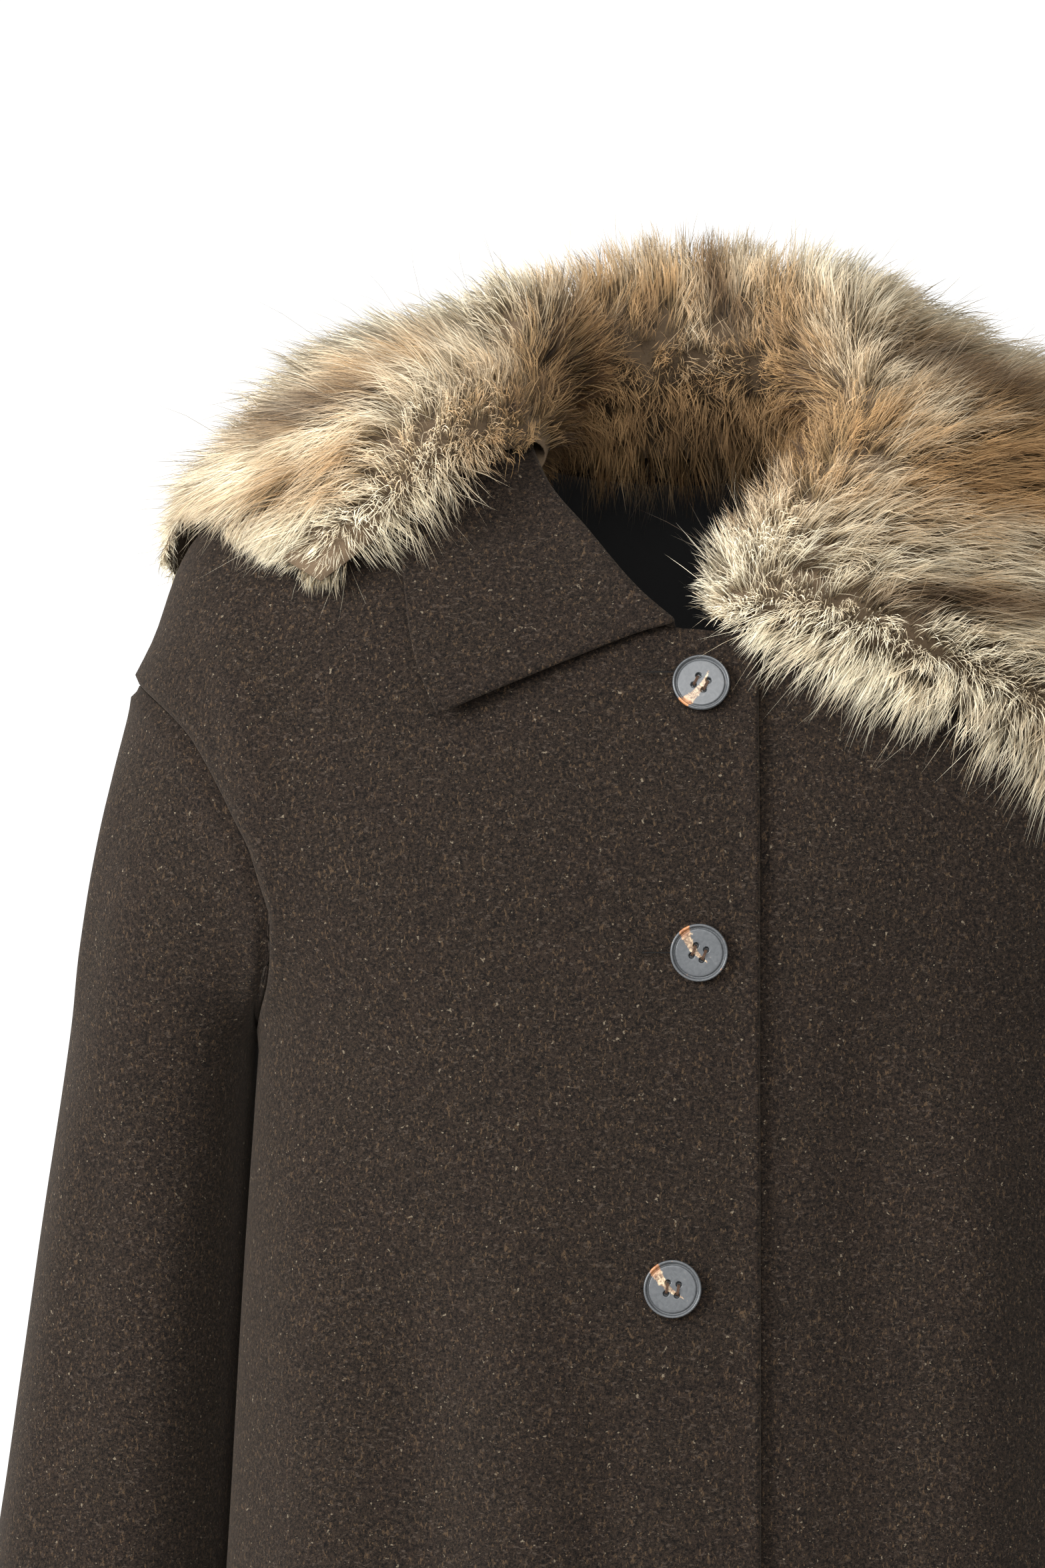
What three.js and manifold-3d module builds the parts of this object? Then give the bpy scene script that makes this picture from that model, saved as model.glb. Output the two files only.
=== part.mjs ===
// A short oversized jacket in felted brown wool with a deep faux fur collar laid over its wool collar.
// It stands filled out and hollow, as it hangs on its wearer, and is buttoned right over left.
// Millimetres. +X is the jacket's own left, -Y its front, +Z up. The origin is between the shoulders,
// at the height where the shoulder seams meet the neck.
import * as THREE from "three";
import { mergeVertices } from "three/addons/utils/BufferGeometryUtils.js";
import Module from "manifold-3d";

const wasm = await Module();
wasm.setup();

// Cloth and seams
const CLOTH = 2.4;
const LINING = 1.0;
const SEAM_GAP = 0.4;
const NECK_SEAM_GAP = 0.6;
const NECK_SEAM_EXTRA = { angle: 76, width: 12, gap: 1.0 };
const FACE_GAP = 0.5;

// Body
const HEM_Z = -700;
const UNDERARM_Z = -300;
const SHOULDER_TIP_Z = -128;
const ROUNDNESS = 2.4;
const OVERLAP = 29;
const UNDERLAP_DEPTH = 3.4;
const UNDERLAP_BLEND = [30, 78];
const NECK_HALF_WIDTH = 95;
const NECK_FRONT_DROP = 102;
const NECK_BACK_DROP = 22;
const NECK_CURVE = 1.3;
const EDGE_DROP = 3;

// Rings of the filled out body from hem to neck. Above the underarm they hold the tops of the arms too.
const BODY_RINGS = [
  { z: -700, halfWidth: 250, front: 146, back: 136, middle: -2 },
  { z: -566, halfWidth: 241, front: 140, back: 128, middle: -2 },
  { z: -470, halfWidth: 236, front: 136, back: 124, middle: -2 },
  { z: -380, halfWidth: 231, front: 133, back: 121, middle: 0 },
  { z: -330, halfWidth: 228, front: 131, back: 121, middle: 2 },
  { z: -300, halfWidth: 226, front: 130, back: 122, middle: 3 },
  { z: -285, halfWidth: 230, front: 130, back: 122, middle: 3 },
  { z: -250, halfWidth: 247, front: 130, back: 124, middle: 3 },
  { z: -220, halfWidth: 259, front: 129, back: 124, middle: 3 },
  { z: -190, halfWidth: 269, front: 126, back: 124, middle: 3 },
  { z: -160, halfWidth: 278, front: 119, back: 122, middle: 3 },
  { z: -128, halfWidth: 281, front: 110, back: 117, middle: 3 },
  { z: -101, halfWidth: 271, front: 101, back: 108, middle: 3 },
  { z: -67, halfWidth: 259, front: 84, back: 92, middle: 3 },
  { z: -50, halfWidth: 248, front: 73, back: 82, middle: 3 },
  { z: -40, halfWidth: 232, front: 68, back: 76, middle: 3 },
  { z: -30, halfWidth: 200, front: 62, back: 70, middle: 3 },
  { z: -15, halfWidth: 148, front: 53, back: 60, middle: 3 },
  { z: 0, halfWidth: 95, front: 45, back: 50, middle: 3 },
  { z: 40, halfWidth: 40, front: 26, back: 30, middle: 3 },
];

// How far each arm presses the body's side in below the underarm.
const ARM_PRESS = [
  { z: -700, depth: 10 },
  { z: -400, depth: 15 },
  { z: -300, depth: 12 },
  { z: -262, depth: 0 },
];
const ARM_PRESS_Y = 18;
const ARM_PRESS_REACH = 50;

// Soft folds of the body as ridges and troughs, each along a line from its top to its bottom.
const BODY_FOLDS = [
  { face: -1, topX: -238, topZ: -58, footX: -206, footZ: -262, width: 15, height: 4.5 },
  { face: -1, topX: 238, topZ: -58, footX: 206, footZ: -262, width: 15, height: 4.5 },
  { face: -1, topX: -192, topZ: -330, footX: -186, footZ: -720, width: 24, height: 6 },
  { face: -1, topX: -142, topZ: -390, footX: -136, footZ: -720, width: 24, height: -8 },
  { face: -1, topX: -92, topZ: -350, footX: -84, footZ: -720, width: 26, height: 6 },
  { face: -1, topX: -46, topZ: -440, footX: -42, footZ: -720, width: 17, height: -4 },
  { face: -1, topX: 84, topZ: -230, footX: 78, footZ: -720, width: 26, height: -7 },
  { face: -1, topX: 134, topZ: -300, footX: 130, footZ: -720, width: 24, height: 6 },
  { face: -1, topX: 186, topZ: -370, footX: 180, footZ: -720, width: 22, height: -5 },
  { face: 1, topX: -196, topZ: -150, footX: -176, footZ: -540, width: 26, height: 6 },
  { face: 1, topX: 200, topZ: -160, footX: 182, footZ: -500, width: 24, height: 6 },
  { face: 1, topX: -118, topZ: -290, footX: -112, footZ: -720, width: 28, height: -8 },
  { face: 1, topX: -52, topZ: -340, footX: -58, footZ: -720, width: 26, height: 7 },
  { face: 1, topX: 12, topZ: -380, footX: 6, footZ: -720, width: 24, height: -6 },
  { face: 1, topX: 74, topZ: -320, footX: 78, footZ: -720, width: 26, height: 7 },
  { face: 1, topX: 138, topZ: -300, footX: 132, footZ: -720, width: 26, height: -7 },
];
const FOLD_FADE = 90;
const EDGE_ROLL = { inset: 7, width: 4, height: 0.9 };

// The armhole seen from the side: its reach to front and back at each angle, 0 at the underarm and 180 at
// the top.
const ARMHOLE = [
  { angle: 0, front: 0, back: 0 },
  { angle: 15, front: 26, back: 24 },
  { angle: 30, front: 48, back: 45 },
  { angle: 45, front: 65, back: 60 },
  { angle: 60, front: 76, back: 69 },
  { angle: 75, front: 82, back: 74 },
  { angle: 90, front: 82, back: 75 },
  { angle: 105, front: 77, back: 72 },
  { angle: 120, front: 70, back: 65 },
  { angle: 135, front: 60, back: 55 },
  { angle: 150, front: 44, back: 41 },
  { angle: 165, front: 23, back: 22 },
  { angle: 180, front: 0, back: 0 },
];

// The sleeve's sections from armhole to cuff, each a line from its under seam to its outer side.
const SLEEVE = [
  { at: 0, innerX: 214, innerZ: -300, outerX: 281, outerZ: -128, middle: 3, depth: 80 },
  { at: 1, innerX: 219, innerZ: -307, outerX: 294, outerZ: -178, middle: 6, depth: 74 },
  { at: 2, innerX: 220, innerZ: -318, outerX: 304, outerZ: -228, middle: 11, depth: 71 },
  { at: 3, innerX: 220, innerZ: -333, outerX: 312, outerZ: -282, middle: 16, depth: 70 },
  { at: 4, innerX: 221, innerZ: -356, outerX: 320, outerZ: -336, middle: 20, depth: 70 },
  { at: 5, innerX: 222, innerZ: -402, outerX: 329, outerZ: -393, middle: 23, depth: 70 },
  { at: 6, innerX: 224, innerZ: -460, outerX: 338, outerZ: -456, middle: 24, depth: 69 },
  { at: 7, innerX: 227, innerZ: -520, outerX: 347, outerZ: -520, middle: 24, depth: 67 },
  { at: 8, innerX: 230, innerZ: -580, outerX: 356, outerZ: -583, middle: 22, depth: 65 },
  { at: 9, innerX: 235, innerZ: -634, outerX: 361, outerZ: -642, middle: 20, depth: 62 },
];
const SLEEVE_ROUNDNESS = 2.15;
const SLEEVE_FOLDS = [
  { angle: 158, from: 0.35, to: 3.6, width: 11, height: 3.2 },
  { angle: 205, from: 1.2, to: 6.5, width: 16, height: -3.5 },
  { angle: 118, from: 3.6, to: 9.6, width: 20, height: -4 },
  { angle: 78, from: 4.2, to: 9.6, width: 18, height: 3.5 },
  { angle: 262, from: 2.5, to: 8.5, width: 20, height: 4 },
  { angle: 298, from: 3.2, to: 9.6, width: 18, height: -4 },
];

// The wool collar: its roll line and the farthest line that a collar reaches, round the neck.
// 0 is the front centre, 90 the shoulder seam and 180 the back centre. edge is the share that wool covers.
const COLLAR = [
  { angle: 0, rollX: 4, rollY: -105, rollZ: -103, bend: 1.6, farX: 226, farZ: -212, edge: 0.505 },
  { angle: 20, rollX: 30, rollY: -96, rollZ: -80, bend: 4, farX: 248, farZ: -168, edge: 0.47 },
  { angle: 40, rollX: 55, rollY: -80, rollZ: -50, bend: 5, farX: 264, farZ: -132, edge: 0.4 },
  { angle: 60, rollX: 76, rollY: -63, rollZ: -24, bend: 5, farX: 268, farZ: -101, edge: 0.36 },
  { angle: 75, rollX: 86, rollY: -38, rollZ: 2, bend: 5, farX: 268, farZ: -80, edge: 0.36 },
  { angle: 90, rollX: 89, rollY: -4, rollZ: 24, bend: 5, farX: 268, farZ: -70, edge: 0.39 },
  { angle: 105, rollX: 87, rollY: 20, rollZ: 36, bend: 5, farX: 258, farZ: -84, edge: 0.41 },
  { angle: 120, rollX: 77, rollY: 39, rollZ: 46, bend: 5, farX: 232, farZ: -105, edge: 0.44 },
  { angle: 150, rollX: 46, rollY: 59, rollZ: 58, bend: 5, farX: 128, farZ: -128, edge: 0.5 },
  { angle: 180, rollX: 0, rollY: 66, rollZ: 62, bend: 5, farX: 0, farZ: -134, edge: 0.53 },
];
const COLLAR_END_X = 9.9;
const COLLAR_CLEARANCE = 5.6;
// Over each shoulder the collars stand off the body in a soft arch.
const COLLAR_ARCH = { rightHeight: 22, leftHeight: 7, angle: 88, spread: 30, share: 0.3, width: 0.26 };
const NECK_AXIS_Y = -16;

// The fur collar's ends and outer edge. The right end is pushed back and shows the wool collar.
const FUR_RIM = 4;
const FUR_UNDER = 3.3;
const FUR_STATIONS = 38;
const FUR_STAND_ROWS = [0.14, 0.45, 0.72, 0.88, 1];
const FUR_FALL_ROWS = [0.04, 0.1, 0.2, 0.32, 0.44, 0.56, 0.68, 0.8, 0.9, 1];
const FUR_RIGHT_END = { neck: 68, slant: -40 };
const FUR_LEFT_END = { neck: 6, slant: 0 };
const FUR_REACH = [
  { along: -1, reach: 0.56 },
  { along: -0.86, reach: 0.65 },
  { along: -0.74, reach: 0.8 },
  { along: -0.62, reach: 0.91 },
  { along: -0.5, reach: 0.96 },
  { along: 0.6, reach: 0.97 },
  { along: 0.8, reach: 0.98 },
  { along: 1, reach: 0.96 },
];
// How high the fur stands: its fullest height round the neck, 0 at the back and 1 at either end, and the
// share of it from the neck edge (stand) over the roll (0) to the outer edge (1).
const FUR_CROWN = [
  { along: 0, height: 47 },
  { along: 0.4, height: 48 },
  { along: 0.6, height: 49 },
  { along: 0.8, height: 46 },
  { along: 1, height: 42 },
];
const FUR_STAND_SHARE = [0.1, 0.55, 0.71, 0.76, 0.77];
const FUR_FALL_SHARE = [
  { fall: 0, share: 0.77 },
  { fall: 0.14, share: 0.97 },
  { fall: 0.3, share: 0.95 },
  { fall: 0.45, share: 0.8 },
  { fall: 0.55, share: 0.66 },
  { fall: 0.65, share: 0.48 },
  { fall: 0.75, share: 0.34 },
  { fall: 0.85, share: 0.22 },
  { fall: 1, share: 0.09 },
];
// The hair hangs past both ends of its backing by these lengths.
const FUR_END_SPAN = 0.06;
const FUR_END_RIM = 10;
const FUR_OVERHANG = [
  { fall: 0, right: 0, left: 4 },
  { fall: 0.15, right: 12, left: 30 },
  { fall: 0.32, right: 21, left: 34 },
  { fall: 0.57, right: 29, left: 36 },
  { fall: 0.8, right: 20, left: 36 },
  { fall: 1, right: 5, left: 30 },
];

// Buttons
const BUTTON_RADIUS = 14;
const BUTTON_THICK = 4;
const BUTTON_RIM = 2.6;
const BUTTON_DISH = 0.9;
const BUTTON_HOLE_RADIUS = 1.5;
const BUTTON_HOLE_SPACING = 5.4;
const BUTTONS = [
  { name: "button_1", x: 0.6, z: -129, turn: -27 },
  { name: "button_2", x: -1, z: -259, turn: -23 },
  { name: "button_3", x: -14, z: -421, turn: -10 },
  { name: "button_4", x: -14, z: -584, turn: -18 },
];

// Mesh steps
const NECK_STEPS = 9;
const NECK_OVERLAP_STEPS = 2;
const SHOULDER_STEPS = 7;
const LOWER_ROWS = 9;
const UPPER_ROWS = 12;
const TOP_CROWDING = 1.8;
const LINING_FIRST_ROW = 4;
const SLEEVE_RINGS = 15;
const DENSE = 160;

const radians = THREE.MathUtils.degToRad;
const smoothStep = (low, high, at) => THREE.MathUtils.smoothstep(at, low, high);

// The value of a table's column at a place along its key column, on a curve that never overshoots its rows.
function lookUp(table, key, column, at) {
  const last = table.length - 1;
  if (at <= table[0][key]) return table[0][column];
  if (at >= table[last][key]) return table[last][column];
  let i = 0;
  while (at > table[i + 1][key]) i++;
  const slope = (k) =>
    (table[k + 1][column] - table[k][column]) / (table[k + 1][key] - table[k][key]);
  const tangent = (k) => {
    if (k === 0) return slope(0);
    if (k === last) return slope(last - 1);
    const before = slope(k - 1);
    const after = slope(k);
    return before * after <= 0 ? 0 : (2 * before * after) / (before + after);
  };
  const step = table[i + 1][key] - table[i][key];
  const t = (at - table[i][key]) / step;
  return (
    (1 + 2 * t) * (1 - t) ** 2 * table[i][column] +
    t * (1 - t) ** 2 * step * tangent(i) +
    t * t * (3 - 2 * t) * table[i + 1][column] +
    t * t * (t - 1) * step * tangent(i + 1)
  );
}

// Points spaced evenly along a line of points.
function evenly(points, steps) {
  const lengths = [0];
  for (let i = 1; i < points.length; i++)
    lengths.push(lengths[i - 1] + points[i].distanceTo(points[i - 1]));
  const total = lengths[lengths.length - 1];
  let i = 0;
  return Array.from({ length: steps + 1 }, (_, k) => {
    const goal = (total * k) / steps;
    while (i < points.length - 2 && lengths[i + 1] < goal) i++;
    const share = (goal - lengths[i]) / (lengths[i + 1] - lengths[i]);
    return points[i].clone().lerp(points[i + 1], Math.min(1, Math.max(0, share)));
  });
}

// The point at a share of the length of a line of points.
function along(points, share) {
  let left = share * points.reduce((sum, p, i) => sum + (i ? p.distanceTo(points[i - 1]) : 0), 0);
  for (let i = 1; i < points.length; i++) {
    const step = points[i].distanceTo(points[i - 1]);
    if (left <= step) return points[i - 1].clone().lerp(points[i], left / step);
    left -= step;
  }
  return points[points.length - 1].clone();
}

// The way along a cloth from its edge and off it, towards a centre.
function offEdge(normal, tangent, towards) {
  const way = normal.clone().cross(tangent).normalize();
  return way.dot(towards) < 0 ? way.negate() : way;
}

// A line of points with its corners cut round.
function rounded(points, passes) {
  let line = points;
  for (let pass = 0; pass < passes; pass++) {
    const next = [line[0]];
    for (let i = 0; i < line.length - 1; i++) {
      next.push(line[i].clone().lerp(line[i + 1], 0.25));
      next.push(line[i].clone().lerp(line[i + 1], 0.75));
    }
    next.push(line[line.length - 1]);
    line = next;
  }
  return line;
}

function ringAt(z) {
  return {
    halfWidth: lookUp(BODY_RINGS, "z", "halfWidth", z),
    front: lookUp(BODY_RINGS, "z", "front", z),
    back: lookUp(BODY_RINGS, "z", "back", z),
    middle: lookUp(BODY_RINGS, "z", "middle", z),
  };
}

// 1 on the body's surface, less inside and more outside.
function level(p) {
  const ring = ringAt(p.z);
  const depth = p.y < ring.middle ? ring.front : ring.back;
  const across = (Math.abs(p.x) / ring.halfWidth) ** ROUNDNESS;
  const through = (Math.abs(p.y - ring.middle) / depth) ** ROUNDNESS;
  return (across + through) ** (1 / ROUNDNESS);
}

function gradient(p) {
  const step = 0.05;
  const along = (axis) => {
    const ahead = p.clone();
    const behind = p.clone();
    ahead[axis] += step;
    behind[axis] -= step;
    return (level(ahead) - level(behind)) / (2 * step);
  };
  return new THREE.Vector3(along("x"), along("y"), along("z"));
}

const outward = (p) => gradient(p).normalize();
const heightAbove = (p) => (level(p) - 1) / gradient(p).length();

// A place on the front (face -1) or the back (face 1) of the smooth body.
function onBody(x, z, face) {
  const ring = ringAt(z);
  const share = Math.max(0, 1 - (Math.abs(x) / ring.halfWidth) ** ROUNDNESS);
  const depth = (face < 0 ? ring.front : ring.back) * share ** (1 / ROUNDNESS);
  return new THREE.Vector3(x, ring.middle + face * Math.max(depth, SEAM_GAP / 2), z);
}

function foldHeight(p, face) {
  const reach = (p.y - ARM_PRESS_Y) / ARM_PRESS_REACH;
  let height = -lookUp(ARM_PRESS, "z", "depth", p.z) * Math.exp(-reach * reach);
  for (const fold of BODY_FOLDS) {
    if (fold.face !== face) continue;
    const share = (p.z - fold.topZ) / (fold.footZ - fold.topZ);
    const off = (p.x - fold.topX - share * (fold.footX - fold.topX)) / fold.width;
    const ends =
      smoothStep(fold.footZ, fold.footZ + FOLD_FADE, p.z) *
      smoothStep(-fold.topZ, -fold.topZ + FOLD_FADE, -p.z);
    height += fold.height * ends * Math.exp(-off * off);
  }
  return height;
}

// A place on the folded cloth and the way out of it. lift moves it out from the body.
function onCloth(x, z, face, lift = 0) {
  const base = onBody(x, z, face);
  const normal = outward(base);
  const place = base.clone().addScaledVector(normal, foldHeight(base, face) + lift);
  return { place, normal };
}

// A closed solid between two grids of points, each a list of rows. A closed grid is a tube.
function slab(top, bottom, tube = false) {
  const rows = top.length;
  const columns = top[0].length;
  const positions = [...top.flat(), ...bottom.flat()].flatMap((p) => [p.x, p.y, p.z]);
  const upper = (r, c) => r * columns + (c % columns);
  const lower = (r, c) => (rows + r) * columns + (c % columns);
  const faces = [];
  const quad = (a, b, c, d) => faces.push(a, b, c, a, c, d);
  const across = tube ? columns : columns - 1;
  const end = rows - 1;
  const side = columns - 1;
  for (let c = 0; c < across; c++) {
    for (let r = 0; r < end; r++) {
      quad(upper(r, c), upper(r, c + 1), upper(r + 1, c + 1), upper(r + 1, c));
      quad(lower(r, c), lower(r + 1, c), lower(r + 1, c + 1), lower(r, c + 1));
    }
    quad(upper(0, c + 1), upper(0, c), lower(0, c), lower(0, c + 1));
    quad(upper(end, c), upper(end, c + 1), lower(end, c + 1), lower(end, c));
  }
  if (!tube)
    for (let r = 0; r < end; r++) {
      quad(upper(r, 0), upper(r + 1, 0), lower(r + 1, 0), lower(r, 0));
      quad(upper(r + 1, side), upper(r, side), lower(r, side), lower(r + 1, side));
    }
  return facingOut(positions, faces);
}

function facingOut(positions, faces) {
  const corner = (i) => new THREE.Vector3().fromArray(positions, 3 * i);
  let volume = 0;
  for (let i = 0; i < faces.length; i += 3)
    volume += corner(faces[i]).dot(corner(faces[i + 1]).cross(corner(faces[i + 2])));
  if (volume < 0)
    for (let i = 0; i < faces.length; i += 3)
      [faces[i + 1], faces[i + 2]] = [faces[i + 2], faces[i + 1]];
  const geometry = new THREE.BufferGeometry();
  geometry.setAttribute("position", new THREE.Float32BufferAttribute(positions, 3));
  geometry.setIndex(faces);
  geometry.computeVertexNormals();
  return geometry;
}

// A wall of cloth whose outer side holds the given places.
function wall(grid, thickness, tube = false) {
  const top = grid.map((row) => row.map((at) => at.place));
  const bottom = grid.map((row) =>
    row.map((at) => at.place.clone().addScaledVector(at.normal, -thickness)),
  );
  return slab(top, bottom, tube);
}

// The neck's edge round from the front centre, in the half with positive x.
function neckline(angle) {
  const turn = radians(angle);
  const drop =
    angle <= 90
      ? NECK_FRONT_DROP * Math.max(0, Math.cos(turn)) ** NECK_CURVE
      : NECK_BACK_DROP * -Math.cos(turn);
  return { x: NECK_HALF_WIDTH * Math.sin(turn), z: -drop, face: angle <= 90 ? -1 : 1 };
}

// Points along the neck's edge of one half panel, from the front edge or the back centre to the shoulder.
// Those of a front have a point where the collar ends.
function neckPoints(face, edgeX) {
  const line = [];
  const centre = face < 0 ? 0 : 180;
  for (let k = 0; k <= DENSE; k++) {
    const at = neckline(centre - (face * 90 * k) / DENSE);
    line.push(onBody(at.x, at.z, face));
  }
  if (edgeX === 0) return evenly(line, NECK_STEPS);
  line.unshift(onBody(edgeX, -NECK_FRONT_DROP - EDGE_DROP, face));
  const end = line.findIndex((p) => p.x > COLLAR_END_X);
  return [
    ...evenly(line.slice(0, end + 1), NECK_OVERLAP_STEPS).slice(0, -1),
    ...evenly(line.slice(end), NECK_STEPS - NECK_OVERLAP_STEPS),
  ];
}

// A point of the armhole's edge, in the half with positive x. Angles over 180 run up the back.
function armhole(angle) {
  const face = angle > 180 ? 1 : -1;
  const up = angle > 180 ? 360 - angle : angle;
  const height = SHOULDER_TIP_Z - UNDERARM_Z;
  const z = UNDERARM_Z + (height * (1 - Math.cos(radians(up)))) / 2;
  const depth = lookUp(ARMHOLE, "angle", face < 0 ? "front" : "back", up);
  const ring = ringAt(z);
  const share = 1 - (depth / (face < 0 ? ring.front : ring.back)) ** ROUNDNESS;
  return { x: ring.halfWidth * share ** (1 / ROUNDNESS), z, face };
}

// The x places, evenly spaced round the cloth, of one level of a half panel.
function levelColumns(z, face, edgeX, steps) {
  const { halfWidth } = ringAt(z);
  const line = [];
  for (let k = 0; k <= DENSE; k++) {
    const turn = ((k / DENSE) * Math.PI) / 2;
    line.push(onBody(halfWidth * Math.sin(turn) ** (2 / ROUNDNESS), z, face));
  }
  if (edgeX < 0) line.unshift(onBody(edgeX, z, face));
  return evenly(line, steps).map((p) => p.x);
}

// A half panel as rows of {x, z} from the hem up to the neck and shoulder, in the half with positive x.
function halfPanel(face, edgeX) {
  const steps = NECK_STEPS + SHOULDER_STEPS;
  const rows = [];
  for (let r = 0; r < LOWER_ROWS; r++) {
    const z = HEM_Z + ((UNDERARM_Z - HEM_Z) * r) / LOWER_ROWS;
    rows.push(levelColumns(z, face, edgeX, steps).map((x) => ({ x, z })));
  }
  const foot = levelColumns(UNDERARM_Z, face, edgeX, steps);
  const shoulder = [];
  for (let k = 0; k <= DENSE; k++) {
    const z = (SHOULDER_TIP_Z * k) / DENSE;
    shoulder.push(new THREE.Vector3(ringAt(z).halfWidth, 0, z));
  }
  const head = [...neckPoints(face, edgeX), ...evenly(shoulder, SHOULDER_STEPS).slice(1)];
  for (let r = 0; r <= UPPER_ROWS; r++) {
    const up = 1 - (1 - r / UPPER_ROWS) ** TOP_CROWDING;
    const turn = (180 * r) / UPPER_ROWS;
    const side = armhole(face < 0 ? turn : 360 - turn);
    const chordX = foot[steps] + (head[steps].x - foot[steps]) * up;
    const chordZ = UNDERARM_Z + (SHOULDER_TIP_Z - UNDERARM_Z) * up;
    rows.push(
      foot.map((footX, c) => {
        const share = c / steps;
        return {
          x: footX + (head[c].x - footX) * up + share * (side.x - chordX),
          z: UNDERARM_Z + (head[c].z - UNDERARM_Z) * up + share * (side.z - chordZ),
        };
      }),
    );
  }
  return rows;
}

// side is -1 for the wearer's right and 1 for the left. The right front lies over the left one.
function frontGrid(side) {
  const under = side > 0;
  return halfPanel(-1, -OVERLAP).map((row) =>
    row.map(({ x, z }) => {
      const roll = (x + OVERLAP - EDGE_ROLL.inset) / EDGE_ROLL.width;
      const lift = under
        ? -UNDERLAP_DEPTH * (1 - smoothStep(...UNDERLAP_BLEND, x))
        : EDGE_ROLL.height * Math.exp(-roll * roll);
      return onCloth(side * x, z, -1, lift);
    }),
  );
}

function backGrid() {
  return halfPanel(1, 0).map((row) => [
    ...row.slice(1).reverse().map(({ x, z }) => onCloth(-x, z, 1)),
    ...row.map(({ x, z }) => onCloth(x, z, 1)),
  ]);
}

// A sleeve's outer side, at an angle round it and a place along it, and the way out of it.
function onSleeve(side, angle, at) {
  const get = (column) => lookUp(SLEEVE, "at", column, at);
  const inner = new THREE.Vector3(side * get("innerX"), get("middle"), get("innerZ"));
  const outer = new THREE.Vector3(side * get("outerX"), get("middle"), get("outerZ"));
  const power = 2 / SLEEVE_ROUNDNESS;
  const bend = (v) => Math.sign(v) * Math.abs(v) ** power;
  const turn = radians(angle);
  const across = outer.clone().sub(inner).multiplyScalar(0.5);
  const middle = inner.clone().add(across);
  const depth = get("depth");
  const place = middle.clone().addScaledVector(across, -bend(Math.cos(turn)));
  place.y -= depth * bend(Math.sin(turn));
  const width = across.length();
  const normal = across
    .clone()
    .normalize()
    .multiplyScalar(-bend(Math.cos(turn)) * depth)
    .add(new THREE.Vector3(0, -bend(Math.sin(turn)) * width, 0))
    .normalize();
  let height = 0;
  for (const fold of SLEEVE_FOLDS) {
    const off = (angle - fold.angle) / fold.width;
    const ends =
      smoothStep(fold.from, fold.from + 1, at) * (1 - smoothStep(fold.to - 1, fold.to, at));
    height += fold.height * ends * Math.exp(-off * off);
  }
  place.addScaledVector(normal, height);
  return { place, normal };
}

// The sleeve's first ring lies along the armhole, a seam's gap out from the body's edge.
function sleeveGrid(side) {
  const columns = 2 * UPPER_ROWS;
  const edge = Array.from({ length: columns }, (_, c) => {
    const { x, z, face } = armhole((360 * c) / columns);
    return onCloth(side * x, z, face);
  });
  const centre = edge
    .reduce((sum, at) => sum.add(at.place), new THREE.Vector3())
    .divideScalar(columns);
  const lastAt = SLEEVE[SLEEVE.length - 1].at;
  return Array.from({ length: SLEEVE_RINGS + 1 }, (_, r) => {
    const at = (lastAt * r) / SLEEVE_RINGS;
    return edge.map((seam, c) => {
      const angle = (360 * c) / columns;
      const tube = onSleeve(side, angle, at);
      if (r > 0) {
        const start = onSleeve(side, angle, 0).place;
        const fade = Math.max(0, 1 - at / 2.2) ** 2;
        tube.place.addScaledVector(seam.place.clone().sub(start), fade);
        return tube;
      }
      const next = edge[(c + 1) % columns].place;
      const tangent = next.clone().sub(edge[(c + columns - 1) % columns].place);
      const way = offEdge(seam.normal, tangent, centre.clone().sub(seam.place));
      const under = Math.max(0, Math.cos(radians(angle)));
      const place = seam.place.clone().addScaledVector(way, SEAM_GAP + 0.25 + 1.7 * under);
      place.x += side * (0.2 + 1.3 * under);
      const down = new THREE.Vector3(0, 0, -1.2 * under);
      return { place, normal: down.add(seam.normal).add(tube.normal).normalize() };
    });
  });
}

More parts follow.
